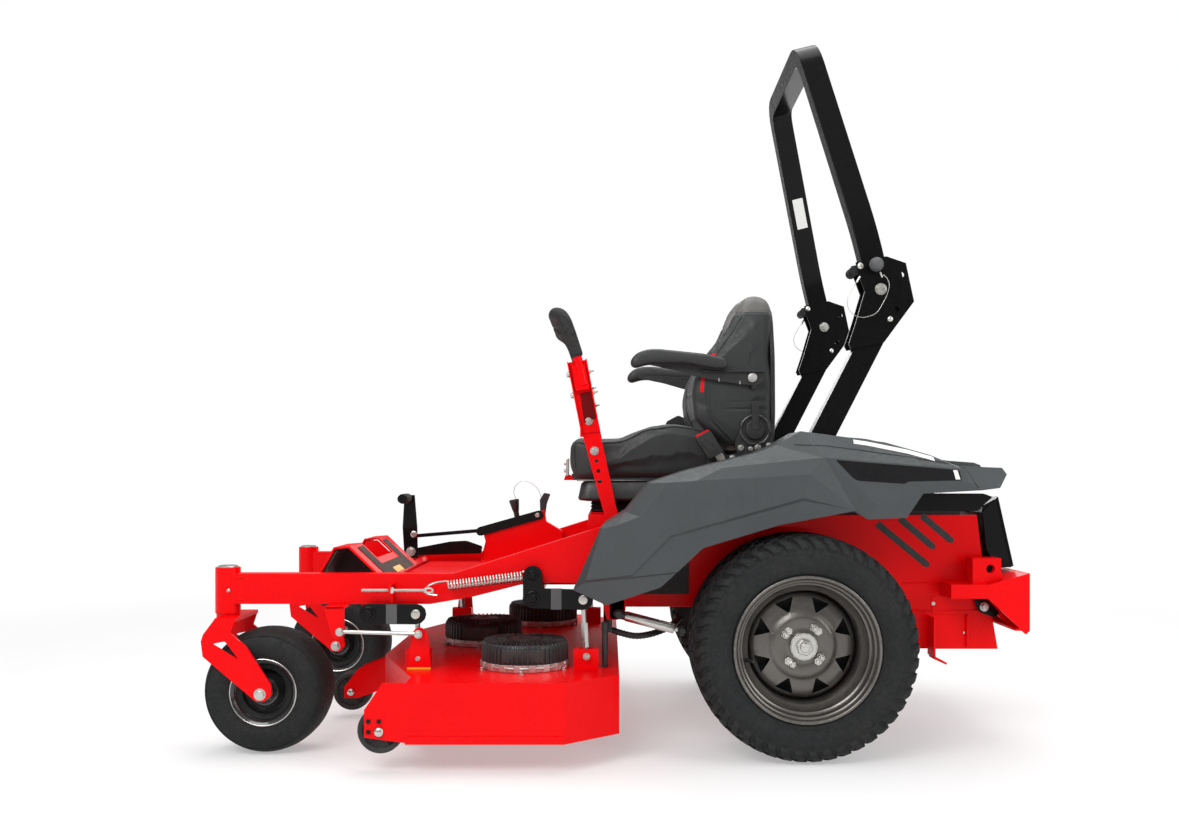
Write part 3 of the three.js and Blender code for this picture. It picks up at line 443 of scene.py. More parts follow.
# ---------------------------------------------------------------- camera, light and floor
CAMERA_ALONG, CAMERA_AWAY, CAMERA_HIGH = -0.034, 3.475, 0.746  # m, away from the centre plane


def make_camera():
    """A level camera that looks square at the machine's left side."""
    data = bpy.data.cameras.new("camera")
    data.sensor_width = 36
    data.lens = 34.69
    data.shift_x, data.shift_y = -0.0157, 0.0488
    camera = stand("camera", data)
    camera.location = (CAMERA_ALONG, CENTRE_Y - CAMERA_AWAY, CAMERA_HIGH)
    camera.rotation_euler = (math.pi / 2, 0, 0)
    bpy.context.scene.camera = camera


def area_light(name, place, aim, size, power):
    data = bpy.data.lights.new(name, "AREA")
    data.shape = "RECTANGLE"
    data.size, data.size_y = size
    data.energy = power
    lamp = stand(name, data)
    lamp.location = place
    lamp.rotation_euler = (Vector(aim) - Vector(place)).to_track_quat("-Z", "Y").to_euler()


def make_lights():
    """Four soft lamps, and a sky that is white to the camera but dim to the machine, most of all low down."""
    area_light("key", (-1.8, -4.2, 3.6), (0, 0, 0.5), (3.2, 2.2), 150)
    area_light("fill", (3.6, -2.8, 2.0), (0, 0, 0.6), (2.2, 2.4), 60)
    area_light("top", (0.2, 0.4, 4.4), (0, 0, 0), (4.5, 3.0), 120)
    area_light("rim", (1.5, 4.4, 2.6), (0, 0, 0.7), (3.5, 2.0), 60)
    world = bpy.data.worlds.new("studio")
    bpy.context.scene.world = world
    world.use_nodes = True
    tree = world.node_tree
    back = tree.nodes["Background"]
    back.inputs["Color"].default_value = (1, 1, 1, 1)
    split = tree.nodes.new("ShaderNodeSeparateXYZ")
    link(tree, tree.nodes.new("ShaderNodeTexCoord").outputs["Generated"], split.inputs["Vector"])
    overhead = spread(tree, split.outputs["Z"], 0.12, 0.66, -0.1, 0.9)
    shown = tree.nodes.new("ShaderNodeLightPath").outputs["Is Camera Ray"]
    level = tree.nodes.new("ShaderNodeMix")
    level.inputs["B"].default_value = 1.0
    link(tree, shown, level.inputs["Factor"])
    link(tree, overhead, level.inputs["A"])
    link(tree, level.outputs["Result"], back.inputs["Strength"])


def make_floor():
    """A pale floor that fades into the white of the studio."""
    spokes = 48
    edit = bmesh.new()
    centre = edit.verts.new((0, 0, 0))
    last = None
    for radius in (1.5, 3.0, 6.0, 12.0, 40.0):
        ring = [edit.verts.new((x, y, 0)) for x, y in circle(0, 0, radius, spokes)]
        for k in range(spokes):
            nxt = (k + 1) % spokes
            if last is None:
                edit.faces.new((centre, ring[k], ring[nxt]))
            else:
                edit.faces.new((last[k], ring[k], ring[nxt], last[nxt]))
        last = ring
    mesh = bpy.data.meshes.new("floor")
    edit.to_mesh(mesh)
    edit.free()
    floor = stand("floor", mesh)
    made = bpy.data.materials.new("pale floor")
    made.use_nodes = True
    tree = made.node_tree
    shader = tree.nodes["Principled BSDF"]
    coords = tree.nodes.new("ShaderNodeTexCoord").outputs["Object"]
    shader.inputs["Specular IOR Level"].default_value = 0.25
    grain = noise_node(tree, coords, 3, 3)
    link(tree, mix(tree, grain, (0.86, 0.86, 0.86), (0.90, 0.90, 0.90)), shader.inputs["Base Color"])
    link(tree, spread(tree, grain, 0.55, 0.7), shader.inputs["Roughness"])
    distance = tree.nodes.new("ShaderNodeVectorMath")
    distance.operation = "LENGTH"
    link(tree, coords, distance.inputs[0])
    glow = tree.nodes.new("ShaderNodeEmission")
    glow.inputs["Color"].default_value = (1, 1, 1, 1)
    blend = tree.nodes.new("ShaderNodeMixShader")
    link(tree, spread(tree, distance.outputs["Value"], 0.38, 1, 1.6, 4.2), blend.inputs["Fac"])
    link(tree, shader.outputs["BSDF"], blend.inputs[1])
    link(tree, glow.outputs["Emission"], blend.inputs[2])
    output = next(node for node in tree.nodes if node.type == "OUTPUT_MATERIAL")
    link(tree, blend.outputs["Shader"], output.inputs["Surface"])
    mesh.materials.append(made)


make_camera()
make_lights()
make_floor()
bpy.context.scene.view_settings.view_transform = "Standard"
bpy.context.scene.view_settings.look = "None"


# ---------------------------------------------------------------- CAD nodes that stay
def both(name):
    """The left and the right node of that name."""
    return [f"{name}_left", f"{name}_right"]


KEPT_NODES = {  # by material: the nodes, and their edges' bevel in mm
    RED: ([*both("frame_rail"), "foot_ramp", "floor_pan", "rear_frame", "rear_bumper", "deck_shell"], 1.5),
    BLACK: (["rops_hoop", "front_lift_shaft", "rear_lift_shaft", "lift_pedal",
             "pedal_link", "rear_panel"], 1.5),
    FENDER: (["rear_hood"], 2.5),
    MOTOR: ([*both("drive_unit")], 2.0),
    CASE: (["battery_pack"], 2.5),
    CHUTE: (["discharge_chute"], 2.0),
    STEEL: (["blade_left", "blade_centre", "blade_right", *both("wheel_hub"),
             *both("lift_link_front"), *both("lift_link_rear")], 0.8),
}
for material, (names, width) in KEPT_NODES.items():
    for name in names:
        finish_node(name, material, width)


# ---------------------------------------------------------------- wheels
CASTER_TYRE = [(60, -50), (76, -60), (84, -64), (92, -72), (106, -80), (124, -82.5), (142, -77),
               (154, -66), (161, -48), (164.4, -24), (165, 0)]
CASTER_DISH = [(20, -52), (26, -56), (36, -56), (40, -40), (50, -30), (60, -34), (68, -52), (76, -64),
               (82, -68), (86, -70.5), (89, -69.5), (89, -64), (82, -60), (72, -48), (62, -26)]


def mirrored_profile(half):
    """Half a closed tyre profile, and the same again on the other side."""
    return half + [(radius, -along) for radius, along in reversed(half[:-1])]


def lip(radius, along, bead):
    """A small round rib on a tyre's wall, as a ring profile."""
    return circle(radius, along, bead, 8)


def caster_wheel(side, label):
    """A smooth caster tyre on a black rim with a bright edge, and its valve."""
    centre = PIVOT[f"caster_spin_{label}"]
    body = f"caster_wheel_{label}"
    axis = outward(side)
    tyre = Shape().turned(mirrored_profile(CASTER_TYRE), centre, axis, 96, closed=True)
    for facing in (-1, 1):
        tyre.turned(lip(95, facing * 72, 2.2), centre, axis, 96, closed=True)
        tyre.turned(lip(150, facing * 70.5, 1.4), centre, axis, 96, closed=True)
    carcass = build(f"caster_tyre_moulding_{label}", tyre, RUBBER, body)
    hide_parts(f"caster_tyre_{label}")
    profile = CASTER_DISH + [(radius, -along) for radius, along in reversed(CASTER_DISH)]
    wheel = Shape().turned(profile, centre, axis, 72, closed=True)
    wheel.turned([(13, -70), (17, -70), (17, 70), (13, 70)], centre, axis, 28, closed=True)
    for facing in (-1, 1):
        wheel.turned([(12, 58 * facing), (25, 58 * facing), (23, 66 * facing), (12, 66 * facing)],
                     centre, axis, 32, closed=True)
    rim = build(f"caster_rim_pressing_{label}", wheel, RIM_BLACK, body, smooth=50)
    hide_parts(f"caster_rim_{label}")
    ring = Shape()
    for facing in (-1, 1):
        ring.turned(lip(87.5, facing * 70, 2.0), centre, axis, 80, closed=True)
    build(f"caster_rim_edge_{label}", ring, STEEL, body)
    stem = centre + Vector((-70 * MM, 0, -25 * MM))
    valve = Shape().tube([stem + axis * (34 * MM), stem + axis * (52 * MM) + Vector((-4 * MM, 0, 0))],
                         [4, 2.6], 10)
    build(f"caster_valve_{label}", valve, CABLE, body)


CROWN, TYRE_HALF = 284, 143.5  # the carcass under the tread: its radius, and half its width
REAR_TYRE = [(184, -100), (186, -118), (190, -126), (200, -134), (216, -141), (236, -TYRE_HALF),
             (256, -141), (272, -134), (281, -118), (283, -88), (CROWN, -45), (CROWN, 0)]
TREAD_PITCHES = 46
SHOULDER = 112           # the lugs start to turn down the tyre's shoulder here, and lie on it
SHOULDER_WIDE = 32       # this much further out


def tread_height(along):
    """The carcass radius under the tread, in mm, at a distance from the tyre's mid plane."""
    edge = min(abs(along), TYRE_HALF)
    half = sorted((abs(a), r) for r, a in REAR_TYRE if r >= 236)
    for (a0, r0), (a1, r1) in zip(half, half[1:]):
        if a0 <= edge <= a1:
            return r0 + (r1 - r0) * (edge - a0) / (a1 - a0)
    return half[-1][1]


def tread_lug(shape, centre, side, turn, path, width, tall):
    """A rubber block that follows the tyre. The path is (across, round) in mm, on the crown."""
    rings = []
    for across, round_by in path:
        base = tread_height(across)
        ring = []
        for offset, lift in ((-0.5, -3.0), (0.5, -3.0), (0.38, 1.0), (-0.38, 1.0)):
            angle = turn + (round_by + offset * width) / CROWN
            radius = base + (tall if lift > 0 else lift)
            slope = max(0.0, (abs(across) - SHOULDER) / SHOULDER_WIDE)
            shift = (0.8 * tall if lift > 0 else 0) * min(1.0, slope) * (1 if across > 0 else -1)
            local = Vector((radius * math.cos(angle), 0, radius * math.sin(angle))) * MM
            ring.append(centre + local + outward(side) * ((across + shift) * MM))
        rings.append(ring)
    shape.rings(rings)


SHOULDER_LUG = [(96, -6), (106, -2), (114, 5), (122, 8), (130, 5), (136, -3), (141, -9)]
OUTER_LUG = [(66, 4), (76, -3), (88, 3)]
INNER_LUG = [(34, -4), (45, 4), (57, -4)]
CENTRE_LUG = [(-24, 4), (-8, -4), (8, 4), (24, -4)]
WALL_RIBS = [(202, 134, 2.0), (236, 142.2, 1.6), (207, 136.4, 0.9), (211, 138.2, 0.9), (246, 142.0, 0.9)]


def rear_tyre(side, label, centre, body):
    """A turf tyre: its carcass with ribs on the walls, and rows of lugs staggered by half a pitch."""
    tyre = Shape().turned(mirrored_profile(REAR_TYRE), centre, outward(side), 120, closed=True)
    for facing in (-1, 1):
        for radius, along, bead in WALL_RIBS:
            tyre.turned(lip(radius, facing * along, bead), centre, outward(side), 96, closed=True)
    step = CROWN * 2 * math.pi / TREAD_PITCHES
    for turn in turns_round(TREAD_PITCHES):
        between = turn + 0.5 * step / CROWN
        for facing in (-1, 1):
            for start, lug, swing, wide, tall in ((turn, SHOULDER_LUG, facing, 0.64, 7.0),
                                                  (between, OUTER_LUG, 1, 0.62, 8.4),
                                                  (turn, INNER_LUG, 1, 0.62, 8.6)):
                path = [(facing * across, swing * round_by) for across, round_by in lug]
                tread_lug(tyre, centre, side, start, path, step * wide, tall)
        tread_lug(tyre, centre, side, between, CENTRE_LUG, step * 0.60, 8.7)
    carcass = build(f"rear_tyre_moulding_{label}", tyre, RUBBER, body, smooth=30)
    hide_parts(f"rear_tyre_{label}")


def applied(obj):
    """Puts what the modifiers make into the object's own mesh."""
    graph = bpy.context.evaluated_depsgraph_get()
    mesh = bpy.data.meshes.new_from_object(obj.evaluated_get(graph))
    obj.modifiers.clear()
    obj.data = mesh
    return obj


def carve(obj, cutter, smooth=38):
    """Cuts a shape's solids out of an object."""
    tool = piece("cutter", cutter, obj.data.materials[0], None, "red_paint")
    cut = obj.modifiers.new("cut", "BOOLEAN")
    cut.operation = "DIFFERENCE"
    cut.solver = "EXACT"
    cut.object = tool
    applied(obj)
    bpy.data.objects.remove(tool)
    obj.data.set_sharp_from_angle(angle=math.radians(smooth))
    return obj


DISC_FRONT = [(0, 55), (38, 55), (44, 53), (50, 54), (70, 56), (78, 55), (86, 50), (94, 47), (110, 46),
              (126, 44), (134, 40), (140, 32), (143, 20)]
DISC_SHEET = 4           # the pressed disc's thickness
WINDOWS = 8
WINDOW = [(127, 26), (127, -26), (90, 0)]
RIM_BARREL = [(190, 126), (190, 131), (188, 133), (184, 133), (181, 130), (180, 124), (176, 118),
              (173, 117), (172, 104), (168, 99), (164, 97), (162, 84), (150, 74), (146, 68), (145, 40),
              (145, -52), (160, -64), (164, -90), (172, -104), (176, -118), (182, -126), (184, -132),
              (190, -132), (190, -126), (187, -122), (180, -114), (176, -100), (168, -88), (164, -60),
              (149, -48), (149, 64), (153, 70), (166, 82), (168, 95), (176, 100), (177, 113),
              (184, 120), (185, 126)]


def rear_rim(side, label, centre, body):
    """A pressed disc with windows, in a rolled barrel."""
    axis = outward(side)
    disc_back = [(radius, along - DISC_SHEET) for radius, along in reversed(DISC_FRONT)]
    disc = build(f"rear_rim_disc_{label}", Shape().turned(DISC_FRONT + disc_back, centre, axis, 96),
                 RIM_GREY, body)
    cutter = Shape()
    for window in range(WINDOWS):
        turn = Matrix.Rotation(2 * math.pi * (window + 0.5) / WINDOWS, 3, "Y")
        outline = rounded(WINDOW, 5)
        rings = [[centre + turn @ (Vector((x, 0, z)) * MM) + axis * (along * MM) for x, z in outline]
                 for along in (20, 80)]
        cutter.rings(rings)
    carve(disc, cutter)
    barrel = build(f"rear_rim_barrel_{label}", Shape().turned(RIM_BARREL, centre, axis, 120, closed=True),
                   RIM_GREY, body, smooth=50)
    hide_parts(f"rear_rim_{label}")


def wheel_centre(side, label, centre, body):
    """The hub's nose with its castle nut, the four wheel nuts and the valve."""
    axis = outward(side)
    hub = Shape().turned([(37, 20), (37, 66), (35, 70), (33, 72), (24, 72), (24, 60)], centre, axis, 48)
    hub.turned([(20, 70), (20, 76), (12, 76)], centre, axis, 32)
    build(f"hub_nose_{label}", hub, STEEL, body)
    drum = Shape().turned([(60, -49), (136, -47), (140, -42), (140, -12), (136, -6), (60, -4)],
                          centre, axis, 64)
    build(f"hub_housing_{label}", drum, CASE, body, bevel=0.8)
    nut = Shape().turned([(22, 71), (22, 83), (20, 86), (15, 87)], centre, axis, 6)
    nut.turned([(13, 80), (13, 92), (11, 94), (4, 94), (3, 92)], centre, axis, 24)
    build(f"hub_nut_{label}", nut, STEEL, body, bevel=0.8)
    nuts = Shape()
    for k in range(4):
        turn = math.radians(58 + 90 * k)
        place = centre + Vector((55 * math.cos(turn), 0, 55 * math.sin(turn))) * MM + axis * (54 * MM)
        nuts.turned([(12.5, 0), (12.5, 2), (10.5, 5)], place, axis, 24)
        nuts.turned([(10.5, 4), (10.5, 15), (9, 18)], place, axis, 6)
        nuts.turned([(6, 16), (6, 20), (4.5, 22), (2, 22)], place, axis, 16)
    build(f"wheel_nuts_{label}", nuts, STEEL, body, bevel=0.5)
    foot = centre + Vector((-150 * MM, 0, -32 * MM)) + axis * (84 * MM)
    valve = Shape().tube([foot, foot + axis * (12 * MM) + Vector((5 * MM, 0, 0)),
                          foot + axis * (26 * MM) + Vector((13 * MM, 0, 0))], [6, 5, 3.4], 12)
    build(f"rear_valve_{label}", valve, CABLE, body)


for side, label in SIDES:
    caster_wheel(side, label)
    body = f"rear_wheel_{label}"
    spin = PIVOT[f"rear_wheel_spin_{label}"]
    tyre_low, tyre_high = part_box(f"rear_tyre_{label}")
    middle = Vector((spin.x, (tyre_low.y + tyre_high.y) / 2, spin.z))
    rear_tyre(side, label, middle, body)
    rear_rim(side, label, middle, body)
    wheel_centre(side, label, middle, body)


# ---------------------------------------------------------------- fenders
def flank(x, z):
    """Lateral distance of the fender's flat rear flank, in mm, which leans out towards the bottom."""
    brow_x, brow_z, brow_lateral = 522, 783, 562
    return brow_lateral - 0.026 * (x - brow_x) - 0.111 * (z - brow_z)


def on_flank(x, z):
    """A corner that lies on the flank."""
    return (x, z, flank(x, z))


FENDER_SIDE = {  # (along, height, out from the centre plane)
    "toe": (-124, 441, 545), "tip": (-38, 403, 556), "hem1": (102, 450, 563), "hem2": (210, 551, 568),
    "hem3": (407, 610, 567), "hem4": (597, 645, 560), "notch1": (631, 624, 560),
    "notch2": (734, 628, 558), "hem5": (776, 690, 557), "hem6": (930, 700, 553), "hem7": (977, 705, 548),
    "end": (997, 740, 540), "end_top": (986, 757, 535),
    "fold0": (-92, 469, 570), "fold0_low": (-94, 463, 563), "fold1": (26, 483, 574),
    "fold1_mid": (30, 478, 569), "fold1_low": (27, 474, 563), "fold2_mid": (146, 491, 569),
    "fold2_low": (141, 486, 563), "fold3": (124, 583, 575), "fold3_mid": (131, 579, 569),
    "fold4": (465, 680, 575), "fold4_mid": (468, 672, 568), "peak": (483, 740, 574.5),
    "valley": (603, 647, 556), "front": (-50, 602, 568), "edge1": (-9, 611, 571),
    "edge2": (46, 632, 573), "edge3": (81, 676, 573), "edge4": (115, 719, 572), "edge5": (190, 723, 574),
    "lean": (261, 757, 560), "brow": on_flank(522, 783), "seam": on_flank(876, 754),
    "seam_low": on_flank(880, 722), "scoop1": on_flank(655, 662), "scoop2": on_flank(675, 673),
    "scoop3": on_flank(705, 673), "scoop4": on_flank(745, 719),
}
FENDER_ROOF = [(-52, 606, 540), (12, 643, 536), (73, 718, 532), (174, 751, 528), (356, 797, 520),
               (404, 816, 514), (469, 853, 504), (690, 824, 504), (805, 791, 510), (876, 762, 514),
               (986, 757, 535)]
FENDER_INNER = 313
ARM_NOTCH = 484  # the fender is cut away further in than this, for the lift arm
FENDER_FACES = [
    "toe fold0_low fold0 front roof0", "toe tip hem1 fold2_low fold1_low fold0_low",
    "fold0_low fold1_low fold1 fold0", "fold1_low fold1_mid fold1", "fold1_low fold2_low fold2_mid fold1_mid",
    "fold1_mid fold2_mid hem2 hem3 fold4_mid fold3_mid", "fold1 fold1_mid fold3_mid fold3",
    "fold3 fold3_mid fold4_mid fold4", "fold0 fold1 fold3 edge2 edge1 front",
    "fold3 edge5 edge4 edge3 edge2", "fold3 fold4 peak edge5", "fold4 valley peak",
    "fold4_mid valley fold4", "fold4_mid hem3 hem4 valley", "peak valley brow",
    "valley hem4 notch1 scoop1 brow", "brow scoop1 scoop2 scoop3 scoop4 seam_low seam",
    "scoop1 notch1 notch2 hem5 scoop4 scoop3 scoop2", "scoop4 hem5 hem6 seam_low",
    "seam seam_low hem6 hem7 end roof10 roof9", "front edge1 roof1 roof0", "edge1 edge2 roof1",
    "edge2 edge3 roof2 roof1", "edge3 edge4 roof2", "edge4 edge5 lean roof3 roof2",
    "edge5 peak brow lean", "roof3 lean roof4", "lean brow roof5 roof4", "brow roof6 roof5",
    "brow roof7 roof6", "brow seam roof8 roof7", "seam roof9 roof8",
    "toe roof0 notch_top notch_toe", "roof0 roof1 notch_roof notch_top",
    "notch_top notch_roof inner1 inner0", "roof1 roof2 inner2 inner1 notch_roof",
    "end roof10 inner10 end_inner", "hem7 end end_inner hem_inner",
]


def fender_points():
    """Every named corner of the fender: its side, its roof, its inner edge and the lip below that."""
    points = dict(FENDER_SIDE)
    for k, (x, z, lateral) in enumerate(FENDER_ROOF):
        points[f"roof{k}"] = (x, z, lateral)
        points[f"inner{k}"] = (x, z, FENDER_INNER)
        points[f"lip{k}"] = (x, z - 16, FENDER_INNER)
    points["inner0"] = (-40, 611, FENDER_INNER)
    points["notch_toe"] = (-124, 441, ARM_NOTCH)
    points["notch_top"] = (-48, 608, ARM_NOTCH)
    points["notch_roof"] = (12, 643, ARM_NOTCH)
    points["end_inner"] = (997, 740, FENDER_INNER)
    points["hem_inner"] = (977, 705, FENDER_INNER)
    return points


def fender(side, label):
    """The faceted shell, made from its named corners, with a wall of 4 mm."""
    points = fender_points()
    names = list(points)
    faces = [words.split() for words in FENDER_FACES]
    for k in range(2, len(FENDER_ROOF) - 1):
        faces.append([f"roof{k}", f"roof{k + 1}", f"inner{k + 1}", f"inner{k}"])
    for k in range(1, len(FENDER_ROOF) - 1):
        faces.append([f"inner{k}", f"inner{k + 1}", f"lip{k + 1}", f"lip{k}"])
    mesh = bpy.data.meshes.new(f"fender_shell_{label}")
    corners = [tuple(at(x, lateral, z, side)) for x, z, lateral in points.values()]
    mesh.from_pydata(corners, [], [[names.index(name) for name in face] for face in faces])
    edit = bmesh.new()
    edit.from_mesh(mesh)
    loose = [vert for vert in edit.verts if not vert.link_faces]
    bmesh.ops.delete(edit, geom=loose, context="VERTS")
    bmesh.ops.recalc_face_normals(edit, faces=edit.faces)
    flank_face = max(edit.faces, key=lambda face: abs(face.normal.y) * face.calc_area())
    if flank_face.normal.y * side < 0:
        bmesh.ops.reverse_faces(edit, faces=edit.faces)
    edit.to_mesh(mesh)
    edit.free()
    shell = stand(f"fender_shell_{label}", mesh)
    mesh.materials.append(FENDER)
    mesh.shade_smooth()
    wall = shell.modifiers.new("wall", "SOLIDIFY")
    wall.thickness = 4 * MM
    wall.offset = -1
    bevel = shell.modifiers.new("bevel", "BEVEL")
    bevel.width = 2.2 * MM
    bevel.segments = 3
    bevel.limit_method = "ANGLE"
    bevel.angle_limit = math.radians(2.5)
    shell.modifiers.new("normals", "WEIGHTED_NORMAL").weight = 80
    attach(shell, "chassis")
    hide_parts(f"fender_{label}")


def flank_plate(outline, side, low=-0.6, high=1.2):
    """A thin plate on the fender's flank, from an (x, z) outline."""
    rings = [[at(x, flank(x, z) + lift, z, side) for x, z in outline] for lift in (low, high)]
    return Shape().rings(rings)


def fender_trim(side, label):
    """The dark panel on the flank with its pale block, and the slot in the roof round the roll bar's post."""
    panel = [(550, 777), (868, 751), (874, 725), (737, 722), (727, 716), (607, 724), (596, 729)]
    build(f"flank_panel_{label}", flank_plate(rounded(panel, 4), side), LABEL_DARK, "chassis")
    block = [(852, 751.5), (863, 750.5), (870, 727), (858, 727)]
    build(f"flank_block_{label}", flank_plate(block, side, 1.0, 2.0), LABEL_PALE, "chassis")
    slot = rounded([(556, 370), (660, 370), (660, 430), (556, 430)], 8)
    rings = [[at(x, lateral, 0.131 * (690 - x) + 824.5 + lift, side) for x, lateral in slot]
             for lift in (-5, 1.0)]
    build(f"post_slot_{label}", Shape().rings(rings), CHUTE, "chassis", bevel=0.6)


on_both_sides(fender, fender_trim)


# ---------------------------------------------------------------- deck and its motors
MOTOR_RIBS = 56


def fluted(centre, ribs, outer, inner, heights):
    """Rings of a ribbed drum. Heights are (z in mm, share of the radius)."""
    rings = []
    for z, share in heights:
        ring = []
        for k in range(ribs * 4):
            radius = (outer if k % 4 < 2 else inner) * share * MM
            turn = 2 * math.pi * (k + 0.5 * (k % 2)) / (ribs * 4)
            ring.append(Vector((centre.x + radius * math.cos(turn),
                                centre.y + radius * math.sin(turn), z * MM)))
        rings.append(ring)
    return rings


def fin_ring(shape, centre, count, start, end, z, tall, phase):
    """Upright fins like spokes, from one radius to another."""
    for k in range(count):
        turn = Matrix.Rotation(2 * math.pi * (k + phase) / count, 3, "Z")
        middle = Vector(((start + end) / 2 * MM, 0, 0))
        place = Vector((centre.x, centre.y, (z + tall / 2) * MM)) + turn @ middle
        shape.block(place, (end - start, 3.4, tall), turn)


def motor(label, side):
    """A blade motor: a cast foot with bolts, a ribbed cap with fins on top, and a plain side panel."""
    centre = PIVOT[f"blade_spin_{label}"]
    low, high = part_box(f"blade_motor_{label}")
    foot, top = low.z / MM, high.z / MM
    split = foot + 21
    base = Shape().rings(fluted(centre, 18, 119, 114.5, [(foot, 0.985), (foot + 4, 1), (split - 1, 1)]))
    flange = Vector((centre.x, centre.y, foot * MM))
    base.turned([(117, 8), (118.6, 10), (118.6, 13), (117, 15)], flange, Z_AXIS, 72, closed=True)
    build(f"motor_base_{label}", base, CAST, "deck", bevel=0.8)
    cap = Shape().rings(fluted(centre, MOTOR_RIBS, 116.5, 113,
                               [(split, 1), (split + 36, 1), (top - 11, 0.985), (top - 6, 0.955)]))
    fin_ring(cap, centre, 48, 80, 109, top - 8, 6.5, 0)
    fin_ring(cap, centre, 40, 50, 76, top - 8, 7.0, 0.5)
    seat = Vector((centre.x, centre.y, (top - 8) * MM))
    cap.turned([(46, 0), (46, 5), (42, 7.5), (18, 7.5), (17, 6), (2, 6)], seat, Z_AXIS, 56)
    cap.turned([(77, 1), (79.5, 1), (79.5, 5), (77, 5)], seat, Z_AXIS, 72, closed=True)
    cap_piece = build(f"motor_cap_{label}", cap, MOTOR, "deck", bevel=0.5)
    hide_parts(f"blade_motor_{label}")
    turns = [math.radians(90 * side + turn) for turn in range(-26, 27, 4)]
    rings = []
    for radius in (112, 117.6):
        arc = [Vector((centre.x + radius * MM * math.cos(t), centre.y + radius * MM * math.sin(t), 0))
               for t in turns]
        rings.append([p + Z_AXIS * ((split + 5) * MM) for p in arc]
                     + [p + Z_AXIS * ((split + 38) * MM) for p in reversed(arc)])
    build(f"motor_panel_{label}", Shape().rings(rings), MOTOR, "deck", bevel=1.2)
    bolts = Shape()
    for k in range(6):
        turn = math.radians(30 + 60 * k)
        place = Vector((centre.x + 0.124 * math.cos(turn), centre.y + 0.124 * math.sin(turn), foot * MM))
        bolts.hex_bolt(place, Z_AXIS, 11)
    build(f"motor_bolts_{label}", bolts, STEEL, "deck", bevel=0.4)


for label, side in (("left", LEFT), ("centre", LEFT), ("right", RIGHT)):
    motor(label, side)


def deck_roller(label):
    """An anti-scalp roller: a shell that is open at its ends, with six webs."""
    node = f"deck_roller_{label}"
    low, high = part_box(node)
    middle = (low + high) / 2
    wide = (high.y - low.y) / MM / 2
    out = (high.x - low.x) / MM / 2
    half = [(9, -wide), (18, -wide), (21, -wide + 8), (40, -wide + 9), (45, -wide + 3), (out - 4, -wide + 2),
            (out - 1, -wide + 7), (out, 0)]
    roller = Shape().turned(mirrored_profile(half), middle, Y_AXIS, 64, closed=True)
    for k in range(6):
        turn = Matrix.Rotation(math.pi * k / 3, 3, "Y")
        roller.block(middle + turn @ Vector((0.030, 0, 0)), (24, (wide - 5) * 2, 4), turn)
    made = build(f"roller_wheel_{label}", roller, CHUTE, node, bevel=0.8)
    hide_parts(node)


for label in ("left", "centre", "right"):
    deck_roller(label)


def deck_details():
    """Roller bolts, frame bolts, and three square holes beside the left roller."""
    bolts = Shape()
    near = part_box("deck_shell")[0].y
    hub = PIVOT["deck_roller_spin_left"]
    face = Vector((hub.x, near, hub.z))
    bolts.dome(face, outward(LEFT), 12, 6)
    squares = Shape()
    for dx, dz in ((-26, 26), (0, 26), (-26, 0)):
        squares.block(face + Vector((dx * MM, 0.0005, dz * MM)), (9.5, 2.4, 9.5))
    build("deck_square_holes", squares, LABEL_DARK, "deck")
    hub = PIVOT["deck_roller_spin_right"]
    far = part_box("deck_roller_right")[1].y
    bolts.dome(Vector((hub.x, far + 0.012, hub.z)), outward(RIGHT), 12, 6)
    hub = PIVOT["deck_roller_spin_centre"]
    for side, edge in zip((LEFT, RIGHT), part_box("deck_roller_centre")):
        bolts.dome(Vector((hub.x, edge.y + side * 0.011, hub.z)), outward(side), 11, 6)
    for x, z in ((-535, 254), (-533, 207), (-91, 259), (-89, 214)):
        for side in (LEFT, RIGHT):
            bolts.hex_bolt(at(x, 478, z, side), outward(side), 13, 6)
    build("deck_bolts", bolts, STEEL, "deck", bevel=0.4)


deck_details()


# ---------------------------------------------------------------- lift linkage
ARM_FACE = 472           # lateral distance of the lift arms' outer faces
LIFT_ARMS = {  # the band's start, end, height and half width, the pin's x and z, each hub's x, z and radius
    "front_lift": ((-621, -592, 370.5, 25.6), (-542, 370), [(-667, 371, 20)]),
    "rear_lift": ((-185, -157, 410, 27.6), (-100, 408), [(-233, 412, 20), (-233, 473, 14)]),
}


def linkage_trim(side, label):
    """On each lift arm: a grey band, the head of the link's pin, and caps on the shafts."""
    out = outward(side)
    for body, ((start, end, height, half), (pin_x, pin_z), hubs) in LIFT_ARMS.items():
        outline = [(start, height - half), (end, height - half), (end, height + half), (start, height + half)]
        cut_sheet(f"{body}_band_{label}", outline, ARM_FACE - 9, ARM_FACE + 0.8, GREY_BAND, body, 0.4, side)
        pin = at(pin_x, ARM_FACE, pin_z, side)
        head = Shape().turned([(13, -0.5), (13, 5), (11.5, 7), (4, 7.6)], pin, out, 32)
        build(f"{body}_pins_{label}", head, STEEL, body, bevel=0.5)
        caps = Shape()
        for x, z, radius in hubs:
            place = at(x, ARM_FACE, z, side)
            caps.turned([(radius, -0.5), (radius, 3), (radius * 0.8, 5)], place, out, 32)
            caps.turned([(radius * 0.62, 4), (radius * 0.62, 13), (radius * 0.5, 15)], place, out, 6)
        build(f"{body}_caps_{label}", caps, BLACK, body, bevel=0.7)


on_both_sides(linkage_trim)


